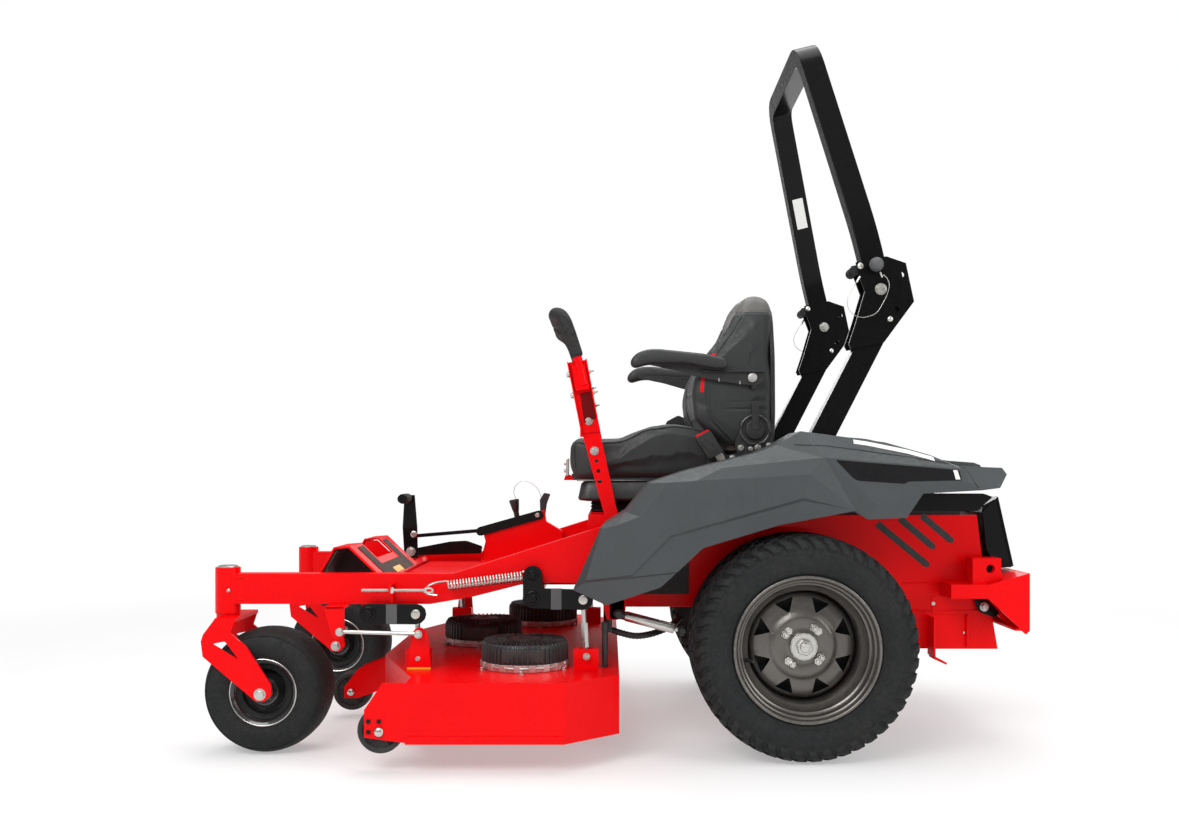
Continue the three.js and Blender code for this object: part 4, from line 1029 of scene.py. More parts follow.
def spring_and_rod():
    """The counterbalance spring: close coils with a hook at each end, and a threaded rod to the rail."""
    low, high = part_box("lift_spring_left")
    lateral = (CENTRE_Y - (low.y + high.y) / 2) / MM
    pin = at(-233, lateral, 473)
    start = at(-458, lateral, 445)
    end = at(-259, lateral, 470)
    ahead = (end - start).normalized()
    up = Y_AXIS.cross(ahead).normalized() * -1
    turns, steps, radius = 25, 12, 12.2
    helix = []
    for k in range(turns * steps + 1):
        angle = 2 * math.pi * k / steps
        place = start.lerp(end, k / (turns * steps))
        helix.append(place + (up * math.sin(angle) + Y_AXIS * math.cos(angle)) * (radius * MM))
    coil = Shape().tube(helix, 2.5, 8)
    clear = lateral + 16
    hook = [start + up * (radius * MM), start - ahead * 0.006 + up * 0.012, at(-486, lateral + 12, 454),
            at(-504, clear, 448), at(-513, clear, 437), at(-508, clear, 425), at(-484, clear, 421)]
    coil.tube(curve_through(hook, 5), 2.6, 8)
    tail = [end + up * (radius * MM), end + ahead * 0.012 + up * 0.011, pin + up * 0.006, pin - up * 0.004]
    coil.tube(curve_through(tail, 5), 2.6, 8)
    spring = build("lift_spring_coil", coil, STEEL, None)
    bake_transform(spring)
    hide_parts("lift_spring_left")
    rod = Shape()
    ridges, pitch = 104, 1.6
    threads = [at(-683 + k * pitch, clear, 434) for k in range(ridges)]
    rod.tube(threads, [4.6 if k % 2 else 3.9 for k in range(ridges)], 12)
    eye = [at(-507 + 12 * math.cos(t), clear, 434 + 6 * math.sin(t)) for t in turns_round(16)]
    rod.tube(eye, 3.2, 8, closed=True)
    rod.turned([(9, 3), (9, 10)], at(-608, clear, 434), X_AXIS, 6)
    build("spring_rod", rod, STEEL, "chassis")
    tab = Shape().block(at(-608, 465, 439), (6, 56, 20)).block(at(-608, 448, 420), (6, 22, 52))
    build("spring_tab", tab, RED, "chassis", bevel=1)


spring_and_rod()


def stay_rod(side, label):
    """The stay between the rail and the front of the deck."""
    start, end = at(-735, 500, 328, side), at(-530, 500, 322, side)
    bar = Shape().tube([start.lerp(end, k / 20) for k in range(21)], 5.2, 14)
    for place in (start, end):
        bar.turned([(10, -9), (10, 9)], place, Y_AXIS, 20)
    stay = build(f"deck_stay_{label}", bar, STEEL, None, smooth=35)
    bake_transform(stay)
    for name, place, depth, body in (("stay_pin", start, 70, "chassis"), ("stay_lug_pin", end, 36, "deck")):
        face = place + outward(side) * (9 * MM)
        pin = Shape().hex_bolt(face, outward(side), 15, 7)
        pin.turned([(6, -depth), (6, 0)], face, outward(side), 16)
        build(f"{name}_{label}", pin, STEEL, body, bevel=0.5)
    ear = rounded([(-562, 226), (-500, 226), (-508, 318), (-522, 336), (-540, 336), (-552, 318)], 10)
    cut_sheet(f"stay_ear_{label}", ear, 478, 484, RED, "deck", side=side)


on_both_sides(stay_rod)


# ---------------------------------------------------------------- seat
SEAT_HALF = 236          # half the width of the cushions, mm
CLOTH_FRAMES = 20
ARM_INNER, ARM_OUTER = 246, 290


def resample(outline, count):
    """The closed outline as that many points, evenly spaced."""
    corners = [Vector(corner) for corner in outline]
    spans = [(b - a).length for a, b in zip(corners, corners[1:] + corners[:1])]
    step = sum(spans) / count
    points, index, passed = [], 0, 0.0
    for k in range(count):
        while passed + spans[index] < k * step:
            passed += spans[index]
            index += 1
        share = (k * step - passed) / max(spans[index], 1e-9)
        points.append(corners[index].lerp(corners[(index + 1) % len(corners)], share))
    return points


def inset(points, distance):
    """The closed outline moved in by a distance in mm."""
    area = sum(a.x * b.y - b.x * a.y for a, b in zip(points, points[1:] + points[:1]))
    sign = 1 if area > 0 else -1
    moved = []
    for i, point in enumerate(points):
        ahead = (points[(i + 1) % len(points)] - points[i - 1]).normalized()
        moved.append(point + Vector((-ahead.y, ahead.x)) * (sign * distance))
    return moved


def pillow(outline, inner, outer, edge, side=LEFT, form=None, count=84):
    """A padded form between two lateral distances, its rims rounded over by edge mm.

    form moves a point (x, lateral, z) in mm to where the padding has it."""
    ring = resample(rounded(outline, 12, 3), count)
    stations = [(edge + 26, inner)]
    for turn in range(90, -1, -18):
        t = math.radians(turn)
        stations.append((edge * (1 - math.cos(t)), inner + edge * (1 - math.sin(t))))
    steps = max(4, int((outer - inner) / 30))
    stations += [(0, inner + edge + (outer - inner - 2 * edge) * k / steps) for k in range(1, steps)]
    for turn in range(0, 91, 18):
        t = math.radians(turn)
        stations.append((edge * (1 - math.cos(t)), outer - edge * (1 - math.sin(t))))
    stations.append((edge + 26, outer))
    rings = []
    for distance, lateral in stations:
        points = [(p.x, lateral, p.y) for p in inset(ring, min(distance, edge))]
        if distance > edge:
            middle = sum((Vector(p) for p in points), Vector()) / count
            points = [tuple(Vector(p).lerp(middle, 0.25)) for p in points]
            points = [(x, lateral, z) for x, _, z in points]
        rings.append([at(*(form(*p) if form else p), side) for p in points])
    return Shape().rings(rings)


def relax(obj, times):
    """Smooths out the steps that a voxel grid or the cloth leaves."""
    smooth = obj.modifiers.new("relax", "SMOOTH")
    smooth.factor, smooth.iterations = 0.5, times
    applied(obj)


def blow_up(obj, pressure, cap):
    """Swells the piece as cloth under pressure, with no point moved further than the cap in mm."""
    start = [vertex.co.copy() for vertex in obj.data.vertices]
    cloth = obj.modifiers.new("cloth", "CLOTH")
    settings = cloth.settings
    settings.quality = 4
    settings.mass = 0.3
    settings.tension_stiffness = settings.compression_stiffness = 30
    settings.shear_stiffness = 10
    settings.bending_stiffness = 6
    settings.use_pressure = True
    settings.uniform_pressure_force = pressure
    settings.effector_weights.gravity = 0
    cloth.point_cache.frame_start, cloth.point_cache.frame_end = 1, CLOTH_FRAMES
    for number in range(1, CLOTH_FRAMES + 1):
        bpy.context.scene.frame_set(number)
    applied(obj)
    bpy.context.scene.frame_set(1)
    for vertex, place in zip(obj.data.vertices, start):
        step = vertex.co - place
        if step.length > cap * MM:
            vertex.co = place + step.normalized() * (cap * MM)


def stuffed(name, shape, material, body, voxel, pressure, cap, keep, relief=None):
    """Makes a padded piece: remeshed, blown up as cloth, held to a cap in mm and to what it rests on.

    keep puts a point (x, lateral, z) in mm back inside the room it has, and relief moves it along its
    normal for seams and folds."""
    obj = build(name, shape, material, None, smooth=180)
    grid = obj.modifiers.new("grid", "REMESH")
    grid.mode = "VOXEL"
    grid.voxel_size = voxel * MM
    grid.use_smooth_shade = True
    applied(obj)
    relax(obj, 3)
    blow_up(obj, pressure, cap)
    relax(obj, 2)
    finer = obj.modifiers.new("finer", "SUBSURF")
    finer.levels = finer.render_levels = 1
    applied(obj)
    mesh = obj.data
    normals = [vertex.normal.copy() for vertex in mesh.vertices]
    for vertex, normal in zip(mesh.vertices, normals):
        spot = in_mm(vertex.co)
        if relief:
            vertex.co += normal * (relief(*spot, normal) * MM)
        x, lateral, z = keep(*in_mm(vertex.co))
        vertex.co = at(x, lateral, z)
    mesh.update()
    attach(obj, body)
    return obj


def laid_on(obj, points, lift):
    """The points, each moved to the nearest place on a piece's surface and lifted off it by mm."""
    tree = BVHTree.FromObject(obj, bpy.context.evaluated_depsgraph_get())
    line = []
    for point in points:
        place, normal, _, _ = tree.find_nearest(point)
        line.append(place + normal * (lift * MM))
    return line


def in_mm(place):
    """A point in metres as (x, lateral on the left side, z) in mm."""
    return place.x / MM, (CENTRE_Y - place.y) / MM, place.z / MM


def groove(distance, width, depth):
    """How far a sewn line pulls the cover in, at a distance from it."""
    return -depth * math.exp(-(distance / width) ** 2)


def to_line(x, z, line):
    """The distance from (x, z) to a chain of points."""
    best = math.inf
    here = Vector((x, z))
    for a, b in zip(line, line[1:]):
        a, b = Vector(a), Vector(b)
        span = b - a
        share = max(0.0, min(1.0, (here - a).dot(span) / span.length_squared))
        best = min(best, (here - a - span * share).length)
    return best


CUSHION = [(-145, 758), (-146, 834), (-128, 848), (-88, 842), (0, 845), (71, 875), (152, 885), (222, 875),
           (261, 856), (310, 797), (300, 738), (106, 729), (-134, 729)]
BACK = [(322, 815), (437, 829), (441, 1006), (430, 1077), (433, 1238), (418, 1259), (384, 1266),
        (357, 1254), (306, 1153), (250, 1087), (211, 1016), (203, 974), (208, 896), (258, 856)]
HEADREST_SEAM = 1206     # the cover is paler above it
BACK_SEAM = [(368, 1262), (340, 1200), (276, 1108), (252, 1010), (247, 953), (260, 893), (322, 826)]


def make_cushion():
    """The seat cushion, with its sewn channels and piping."""
    def form(x, lateral, z):
        share = abs(lateral) / SEAT_HALF
        front = max(0.0, (-70 - x) / 80)
        if z > 800:
            z -= 13 * (1 - share ** 4) * max(0.0, min(1, (z - 800) / 40))
        return x, lateral * (1 - 0.05 * front * front), z

    def relief(x, lateral, z, normal):
        wide = abs(lateral)
        depth = 0.0
        if normal.z > 0.5 and z > 790:
            depth += groove(wide - 150, 5, 4.5)
            if wide < 150:
                for line in (-40, 60, 160):
                    depth += groove(x - line, 5, 3.0)
        if normal.z > 0.2 or normal.x < -0.4:
            depth += groove(wide - 214, 4, 2.6)
        return depth + 0.5 * noise.noise(Vector((x, lateral, z)) * 0.011)

    def keep(x, lateral, z):
        return (max(-151.0, min(316.0, x)), max(-235.5, min(235.5, lateral)), max(726.0, z))

    shape = pillow(CUSHION, -231, 231, 20, form=form)
    cushion = stuffed("seat_cushion_cover", shape, VINYL, "seat_base", 6.0, 4, 7, keep, relief)
    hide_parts("seat_cushion")
    for side, label in SIDES:
        line = [(-146, 752), (-147, 832), (-128, 848), (-88, 843), (0, 846), (71, 876), (152, 886),
                (222, 876), (260, 858), (309, 797)]
        path = laid_on(cushion, curve_through([at(x, 232, z, side) for x, z in line], 6), 0.8)
        build(f"cushion_piping_{label}", Shape().tube(path, 2.4, 8), VINYL, "seat_base", smooth=60)


def make_back():
    """The seat back's cover, with its sewn channels and side panels, and a paler headrest."""
    def form(x, lateral, z):
        share = abs(lateral) / SEAT_HALF
        top = max(0.0, (z - 1120) / 140)
        lateral *= 1 - 0.17 * top * top
        if x < 380 and z < 1230:
            x += 17 * (1 - share ** 3) * min(1.0, (380 - x) / 60)
        return x, lateral, z

    def relief(x, lateral, z, normal):
        wide = abs(lateral)
        depth = 0.0
        if abs(normal.y) > 0.45:
            depth += groove(to_line(x, z, BACK_SEAM), 4, 2.6)
            if 262 < x < 425:
                fade = math.sin(math.pi * (x - 262) / 163)
                for height, pull in ((946 + (x - 340) * 0.05, 4.0), (926, 5.0), (985, 2.0)):
                    depth += groove(z - height, 6, pull * fade)
                depth += 3.0 * fade * math.exp(-((z - 936) / 7) ** 2)
                depth += 3.5 * fade * math.exp(-((z - 965) / 12) ** 2)
        if normal.x < -0.3:
            depth += groove(wide - 150, 5, 4.5)
            if wide < 150:
                for line in (900, 985, 1070, 1150):
                    depth += groove(z - line, 5, 3.0)
        if z > 1170:
            depth += groove(z - HEADREST_SEAM, 4, 2.4)
        return depth + 0.6 * noise.noise(Vector((x, lateral, z)) * 0.012)

    def keep(x, lateral, z):
        clear = 888 - (x - 206) * 0.62 if x < 322 and abs(lateral) < 240 else 0
        return (max(202.0, min(440.0, x)), max(-235.5, min(235.5, lateral)), max(z, clear if z < 900 else 0))

    shape = pillow(BACK, -231, 231, 24, form=form)
    back = stuffed("seat_back_cover", shape, VINYL, "seat_back", 6.0, 4, 7, keep, relief)
    back.data.materials.append(VINYL_LIGHT)
    for face in back.data.polygons:
        if face.center.z > HEADREST_SEAM * MM:
            face.material_index = 1
    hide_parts("seat_back")
    return back


def back_trim(back):
    """Piping along each side's seam, and a red accent in front of it."""
    beside = SEAT_HALF + 9
    for side, label in SIDES:
        line = [at(x + 3, beside - max(0, (z - 1120) / 140) ** 2 * 37, z, side) for x, z in BACK_SEAM[1:]]
        path = laid_on(back, curve_through(line, 8), 0.8)
        build(f"back_piping_{label}", Shape().tube(path, 2.2, 8), VINYL, "seat_back", smooth=60)
        places = ((262, 1094), (243, 1050), (233, 1012), (231, 974))
        accent = curve_through([at(x, beside, z, side) for x, z in places], 6)
        edges = []
        for dx, lift in ((-5, 0.9), (0, 0.9), (5, 0.9), (5, -1.5), (-5, -1.5)):
            edges.append(laid_on(back, [p + X_AXIS * (dx * MM) for p in accent], lift))
        red = Shape().rings([list(ring) for ring in zip(*edges)])
        build(f"back_accent_{label}", red, RED, "seat_back", smooth=40)


def back_shell():
    """The moulded shell behind the cover, with four ribs."""
    shell = [(-196, 836), (196, 836), (214, 900), (214, 1090), (188, 1190), (160, 1226), (-160, 1226),
             (-188, 1190), (-214, 1090), (-214, 900)]
    outline = rounded(shell, 26, 4)
    rings = []
    for x, scale in ((434, 1.0), (443, 1.0), (447, 0.97)):
        rings.append([at(x - 4 * max(0, (z - 1000) / 240), lateral * scale, 1030 + (z - 1030) * scale)
                      for lateral, z in outline])
    build("back_shell", Shape().rings(rings), MOTOR, "seat_back", bevel=2.0)
    ribs = Shape()
    for lateral in (-120, -40, 40, 120):
        path = [at(446.5 - 4 * max(0, (z - 1000) / 240), lateral, z) for z in range(880, 1181, 30)]
        ribs.tube(path, 4.0, 8)
    build("back_shell_ribs", ribs, MOTOR, "seat_back", bevel=0.4)


RECLINE_FACE = 241.5     # lateral distance of the recliner plates' outer faces


def make_recliner():
    """The recline lever in its ring, and the plate with four bolts on each side."""
    centre = PIVOT["recline_handle_turn"]
    x, z = centre.x / MM, centre.z / MM
    hub = Shape().turned([(29, 0), (29, 5), (26, 8), (9, 8.6)], at(x, 242, z), outward(LEFT), 40)
    lever = rounded([(x - 11, z), (x + 11, z), (x + 11, z + 76), (x - 10, z + 80)], 6, 3)
    hub.plate(lever, 244, 251.5)
    handle = build("recline_lever", hub, MOTOR, "recline_handle", bevel=1.2)
    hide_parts("recline_handle")
    ring = Shape().tube([at(px, 244.5, pz) for px, pz in circle(x, z, 41, 48)], 4.2, 10, closed=True)
    build("recline_ring", ring, RIM_BLACK, "seat_base", smooth=60)
    outline = rounded([(346, 880), (327, 826), (334, 798), (436, 806), (438, 880), (410, 905), (362, 905)],
                      10, 3)
    for side, label in SIDES:
        cut_sheet(f"recline_plate_{label}", outline, 237.2, RECLINE_FACE, MOTOR, "seat_base", side=side)
        bolts = Shape()
        for bx, bz, size in ((344, 815, 12), (372, 812, 10), (392, 817, 14), (424, 822, 11)):
            bolts.hex_bolt(at(bx, RECLINE_FACE, bz, side), outward(side), size, 6)
        build(f"recline_bolts_{label}", bolts, STEEL, "seat_base", bevel=0.4)
    face = at(x, RECLINE_FACE, z, RIGHT)
    cap = Shape().turned([(30, 0), (30, 4), (24, 7), (8, 7)], face, outward(RIGHT), 40)
    cap.turned([(8, 6), (8, 10)], face, outward(RIGHT), 6)
    build("recline_cap_right", cap, MOTOR, "seat_base", bevel=0.8)


def seat_rails(side, label):
    """The seat's slide rail, and the strip with two bolts along the cushion's edge."""
    rail = Shape().block(at(90, 150, 722.7, side), (430, 44, 6.2))
    build(f"seat_slide_rail_{label}", rail, STEEL, "seat_base", bevel=1)
    strip = [(246, 764), (322, 772), (400, 790), (436, 806), (434, 822), (330, 798), (250, 786)]
    cut_sheet(f"seat_side_strip_{label}", rounded(strip, 6, 3), 236.5, 240.5, MOTOR, "seat_base", side=side)
    bolts = Shape()
    for x, z in ((284, 781), (320, 786)):
        bolts.hex_bolt(at(x, 240.5, z, side), outward(side), 12, 6)
    build(f"seat_strip_bolts_{label}", bolts, STEEL, "seat_base", bevel=0.4)


def make_seat_frame():
    pan = rounded([(-134, 724), (-140, 742), (-120, 730), (296, 730), (300, 724)], 3, 2)
    cut_sheet("seat_pan", pan, -206, 206, MOTOR, "seat_base")
    bracket = rounded([(-158, 735), (-150, 735), (-150, 788), (-158, 782)], 3, 2)
    cut_sheet("seat_front_bracket", bracket, 82, 122, STEEL, "seat_base")
    latch = rounded([(-165, 722), (-120, 722), (-120, 727), (-158, 742)], 2, 2)
    cut_sheet("seat_slide_latch", latch, 88, 116, RED, "seat_base")
    studs = Shape()
    for z in (750, 772):
        studs.hex_bolt(at(-158, 102, z), -X_AXIS, 10, 5)
    build("seat_front_studs", studs, STEEL, "seat_base", bevel=0.4)


def make_buckles():
    """The belt's buckle on the left, and its retractor on the right."""
    body = rounded([(212, 842), (254, 865), (292, 803), (252, 781)], 6, 3)
    cut_sheet("belt_buckle", body, 246, 268, MOTOR, "seat_base", 3.0, segments=3)
    middle = Vector((252, 823))
    recess = [tuple(middle + (Vector(p) - middle) * 0.62) for p in body]
    cut_sheet("belt_buckle_cover", recess, 267, 269.4, MOTOR, "seat_base")
    cut_sheet("belt_button", [(216, 844), (251, 863), (249, 867), (213, 848)], 251, 263, RED, "seat_base")
    stalk = rounded([(262, 800), (286, 806), (300, 782), (282, 772)], 4, 2)
    cut_sheet("belt_stalk", stalk, 252, 257, STEEL, "seat_base")
    case = rounded([(150, 876), (158, 912), (196, 932), (226, 918), (222, 880)], 7, 3)
    cut_sheet("belt_retractor", case, 246, 272, MOTOR, "seat_base", 3.0, RIGHT, segments=3)
    arm = rounded([(176, 760), (206, 760), (204, 882), (178, 882)], 4, 2)
    cut_sheet("belt_retractor_arm", arm, 240, 246, MOTOR, "seat_base", side=RIGHT)


ARM_PAD = [(29, 1044), (28, 1060), (44, 1081), (72, 1092), (104, 1094), (240, 1080), (294, 1068),
           (306, 1054), (300, 1034), (266, 1034), (180, 1048), (78, 1048), (42, 1038)]
ARM_PLATE = [(64, 1054), (150, 1036), (212, 1018), (281, 1004), (340, 996), (386, 990), (406, 1004),
             (410, 1032), (300, 1042), (240, 1054), (150, 1060), (70, 1062)]


def armrest(side, label):
    """The padded arm on its bracket, with its pivot bolt, slots and stop."""
    body = f"armrest_{label}"

    def keep(x, lateral, z):
        wide = max(245.5, min(293.0, lateral * -side))
        return max(23.0, min(309.0, x)), wide * -side, min(1096.0, z)

    shape = pillow(ARM_PAD, ARM_INNER + 4, ARM_OUTER - 4, 12, side, count=60)
    cover = stuffed(f"armrest_pad_{label}", shape, ARM_FOAM, body, 4.0, 4, 5, keep)
    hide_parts(f"armrest_{label}")
    out = outward(side)
    plate = Shape().plate(rounded(ARM_PLATE, 7, 3), 247, 251.5, side)
    plate.slab([(230, 251), (408, 251), (408, 262), (230, 262)], 1029.5, 1032.5, side)
    build(f"armrest_bracket_{label}", plate, MOTOR, body, bevel=0.8)
    pivot = at(376, 251.5, 1014, side)
    bolt = Shape().turned([(13, 0), (13, 3), (10.5, 3.4), (10.5, 9), (9, 10)], pivot, out, 28)
    bolt.turned([(5, 9), (5, 10.6)], pivot, out, 6)
    build(f"armrest_pivot_{label}", bolt, CAST, body, bevel=0.4)
    slots = Shape()
    for x, z in ((281, 1008), (340, 1000)):
        slots.block(at(x, 251.6, z, side), (3, 1.2, 10))
    build(f"armrest_slots_{label}", slots, STEEL, body)
    rest = at(382, 237, 990, side)
    stop = Shape().turned([(9, 0), (9, 9), (7.5, 10)], rest, out, 24)
    stop.turned([(5.5, 9), (5.5, 13)], rest, out, 6)
    build(f"armrest_stop_{label}", stop, MOTOR, "seat_back", bevel=0.6)


def make_suspension():
    """The upper tray of the seat's suspension, and the bellows under it that the travel folds."""
    def ring(x0, x1, half, z, radius):
        outline = rounded([(x0, -half), (x1, -half), (x1, half), (x0, half)], radius, 5)
        return [at(x, lateral, z) for x, lateral in outline]

    tray = Shape().rings([ring(-92, 266, 178, 661, 26), ring(-117, 282, 198, 664, 34),
                          ring(-121, 286, 202, 670, 34), ring(-112, 280, 199, 712, 32),
                          ring(-107, 276, 196, 717.5, 30), ring(-100, 270, 190, 718.5, 28)])
    low = build("suspension_tray", tray, MOTOR, "suspension", smooth=32)
    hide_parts("seat_suspension")
    folds = [ring(-82 + tuck, 260 - tuck, 172 - tuck, z, 24)
             for z, tuck in ((629.5, 4), (634, -3), (639, 5), (644, -3), (649, 5), (654, -3), (661.2, 3))]
    boot = build("suspension_boot", Shape().rings(folds), RUBBER, None, smooth=60)
    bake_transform(boot)


make_cushion()
back_trim(make_back())
back_shell()
make_recliner()
make_seat_frame()
make_buckles()
make_suspension()
on_both_sides(seat_rails, armrest)


# ---------------------------------------------------------------- lap bars
def recut(name, cutter, material, body, bevel=1.2):
    """A CAD node's shape with openings cut in it, shown in its place."""
    node = frame["nodes"][name]
    mesh = node.data.copy()
    mesh.transform(node.matrix_world)
    mesh.materials.clear()
    mesh.materials.append(material)
    obj = stand(f"{name}_plate", mesh)
    carve(obj, cutter)
    soften(obj, bevel)
    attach(obj, body)
    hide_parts(name)


BAR_MIDDLE = 318         # lateral distance of the lap bar's tube
CHANNEL_BACK = 309.3     # and of the face that its channel turns outwards
GRIP_TIP = (6, 11, 14, 16, 17.4)  # radii of the grip's rounded end, from its tip


def lap_bar_grip(side, label):
    """A bent foam grip on a short tube."""
    body = f"lap_bar_{label}"
    mid = BAR_MIDDLE
    bend = [(-120, mid, 1066), (-126, mid, 1086), (-143, mid, 1138), (-154, mid - 3, 1166),
            (-166, mid - 18, 1184), (-180, mid - 48, 1192), (-186, mid - 90, 1193), (-186, 160, 1193),
            (-186, 70, 1193), (-186, 64, 1193), (-186, 61, 1193)]
    path = curve_through([at(*place, side) for place in bend], 5)
    radii = [15.5, 17.2] + [18.0] * (len(path) - 2 - len(GRIP_TIP)) + list(reversed(GRIP_TIP))
    foam = build(f"lap_bar_grip_{label}", Shape().tube(path, radii, 28), FOAM, body, smooth=60)
    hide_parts(f"lap_bar_{label}")
    bar = [at(x, mid, z, side) for x, z in ((-100, 986), (-106, 1012), (-116, 1050), (-123, 1078))]
    metal = Shape().tube(bar, 13.5, 24)
    metal.plate([(-136, 1040), (-98, 1044), (-84, 976), (-124, 970)], 309.8, 327, side)
    build(f"lap_bar_tube_{label}", metal, RED, body, bevel=2.0)


def lap_bar_channel(side, label):
    """The folded channel that the tube is bolted into, and the bolts."""
    body = f"lap_bar_{label}"
    channel = Shape().plate([(-146, 1051), (-96, 1059), (-58, 858), (-107, 854)], 306.3, CHANNEL_BACK, side)
    channel.plate([(-148, 1050), (-145, 1052), (-105, 855), (-109, 855)], 309, 329, side)
    channel.plate([(-97, 1060), (-93, 1060), (-55, 858), (-59, 858)], 309, 329, side)
    build(f"lap_bar_channel_{label}", channel, RED, body, bevel=1.0)
    # A dark red plate painted as the shade in the channel's recess.
    shade_outline = [(-112, 964), (-76, 971), (-67, 896), (-99, 882)]
    cut_sheet(f"lap_bar_painted_shade_{label}", shade_outline, 309.5, 312, RED_PAINTED_SHADE, body, 0.6, side)
    bolts = Shape()
    tilt = Vector((0.982, 0, 0.189))
    for x, z in ((-90, 1026), (-79, 968)):
        bolts.hex_bolt(at(x, BAR_MIDDLE, z, side), tilt, 13, 7)
        bolts.turned([(3.6, 0), (3.6, 17)], at(x, BAR_MIDDLE, z, side), tilt, 12)
        bolts.hex_bolt(at(x - 52, BAR_MIDDLE, z - 9, side), -tilt, 13, 6)
    hinge = at(-88, CHANNEL_BACK, 889, side)
    bolts.hex_bolt(hinge, outward(side), 17, 8)
    bolts.turned([(4.4, 0), (4.4, 13)], hinge, outward(side), 14)
    build(f"lap_bar_bolts_{label}", bolts, STEEL, body, bevel=0.4)


def lever_base(side, label):
    """The lever's lower plate, with its row of adjustment holes and its bolts."""
    upper = at(-72, 305, 805, side)
    bolts = Shape().hex_bolt(upper, outward(side), 17, 8)
    bolts.turned([(4.4, 0), (4.4, 13)], upper, outward(side), 14)
    bolts.hex_bolt(at(-20, 305, 600, side), outward(side), 20, 9)
    build(f"lever_bolts_{label}", bolts, STEEL, f"lever_base_{label}", bevel=0.4)
    holes = Shape()
    for x, z in ((-66, 777), (-61, 749), (-57, 720)):
        holes.plate(circle(x, z, 5.6), 290, 312, side)
    recut(f"lap_bar_base_{label}", holes, RED, f"lever_base_{label}")


# ---------------------------------------------------------------- roll bar
LANYARD_WIRE = 0.9       # its radius
ROPS_LANYARD = [(636, 434, 1262), (622, 436.5, 1240), (608, 437.5, 1215), (607, 437.5, 1190),
                (618, 437.5, 1171), (640, 437, 1160), (662, 437, 1162), (684, 437, 1172),
                (700, 438, 1196), (712, 441, 1222), (716, 446, 1246), (708, 452, 1262), (697, 457, 1270)]


def lanyard(name, route, steps, side, first, last=None):
    """A wire along (x, lateral, z) places, from something on one body to something on the other."""
    path = curve_through([at(*place, side) for place in route], steps)
    wire = build(name, Shape().tube(path, LANYARD_WIRE, 8), STEEL, None if last else first, smooth=60)
    if last:
        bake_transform(wire)


def rops_pin(side, label):
    """The lock pin: a ball knob on its shank, and the lanyard that holds it."""
    body = f"rops_pin_{label}"
    out = outward(side)
    ball = at(677, 467, 1296, side)
    arc = [math.radians(turn) for turn in range(-84, 91, 12)]
    knob = Shape().turned([(8, -26)] + [(19 * math.cos(t), 19 * math.sin(t)) for t in arc], ball, out, 36)
    grey = build(f"rops_knob_{label}", knob, GREY_BAND, body, smooth=50)
    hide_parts(f"rops_pin_{label}")
    shank = Shape().turned([(7, -34), (7, -10)], ball, out, 20)
    shank.turned([(2.2, 0), (2.2, 15)], at(688, 462, 1276, side), Vector((0.35, 0, -0.93)), 12)
    build(f"rops_pin_shank_{label}", shank, STEEL, body, smooth=50)
    lanyard(f"rops_lanyard_{label}", ROPS_LANYARD, 4, side, "chassis", body)
    ferrule = Shape().turned([(3.2, -9), (3.2, 9)], at(636, 434, 1262, side), Vector((-0.5, 0, -0.86)), 14)
    build(f"rops_lanyard_end_{label}", ferrule, STEEL, "chassis", smooth=40)


def rops_post(side, label):
    """The post's bracket plates with their holes, bolts and rivets, and the stop between them."""
    bolts, rivets, holes = Shape(), Shape(), Shape()
    for x, z in ((753, 1275), (741, 1184)):
        holes.plate(circle(x, z, 7.5), 360, 440, side)
    recut(f"rops_post_{label}", holes, BLACK, "chassis", 1.5)
    for lateral, facing in ((432, side), (368, -side)):
        way = outward(facing)
        bolts.hex_bolt(at(697, lateral, 1236, side), way, 22, 9)
        rivets.dome(at(642, lateral, 1298, side), way, 9, 5)
        rivets.dome(at(722, lateral, 1156, side), way, 8, 4)
    stop = Shape().turned([(13.5, -30), (13.5, 30)], at(628, 400, 1286, side), Y_AXIS, 28)
    build(f"rops_bolts_{label}", bolts, STEEL, "chassis", bevel=0.5)
    build(f"rops_rivets_{label}", rivets, STEEL, "chassis", smooth=50)
    build(f"rops_bumper_{label}", stop, RUBBER, "chassis", bevel=1.5)


HOOP_LEAN = 13.6         # degrees that the hoop leans forwards
LEG_OFFSET, LEG_SLOPE = 415.5, -0.248  # the leg's inner face, and how it closes in with height


def rops_label():
    """A plain pale label on the inner face of the far leg, part of the way up."""
    joint = PIVOT["rops_fold"]
    lean = math.radians(HOOP_LEAN)
    up = Vector((-math.sin(lean), 0, math.cos(lean)))
    across = Vector((math.cos(lean), 0, math.sin(lean)))
    rings = []
    for lift in (0.6, -0.8):
        ring = []
        for high, wide in ((335, -17), (335, 18), (431, 18), (431, -17)):
            lateral = LEG_OFFSET + LEG_SLOPE * high - lift
            foot = Vector((joint.x, CENTRE_Y + RIGHT * lateral * MM, joint.z))
            ring.append(foot + up * (high * MM) + across * (wide * MM))
        rings.append(ring)
    build("rops_label", Shape().rings(rings), LABEL_PALE, "rops_hoop", bevel=0.3)


# ---------------------------------------------------------------- rear
def band_between(a, b, width):
    """A flat bar's (x, z) outline from a to b with the end at b rounded."""
    a, b = Vector(a), Vector(b)
    ahead = (b - a).normalized()
    across = Vector((-ahead.y, ahead.x)) * (width / 2)
    tip = b + ahead * (width * 0.5)
    return [tuple(p) for p in (a - across, b - across, tip - across * 0.35, tip + across * 0.5, b + across,
                               a + across)]


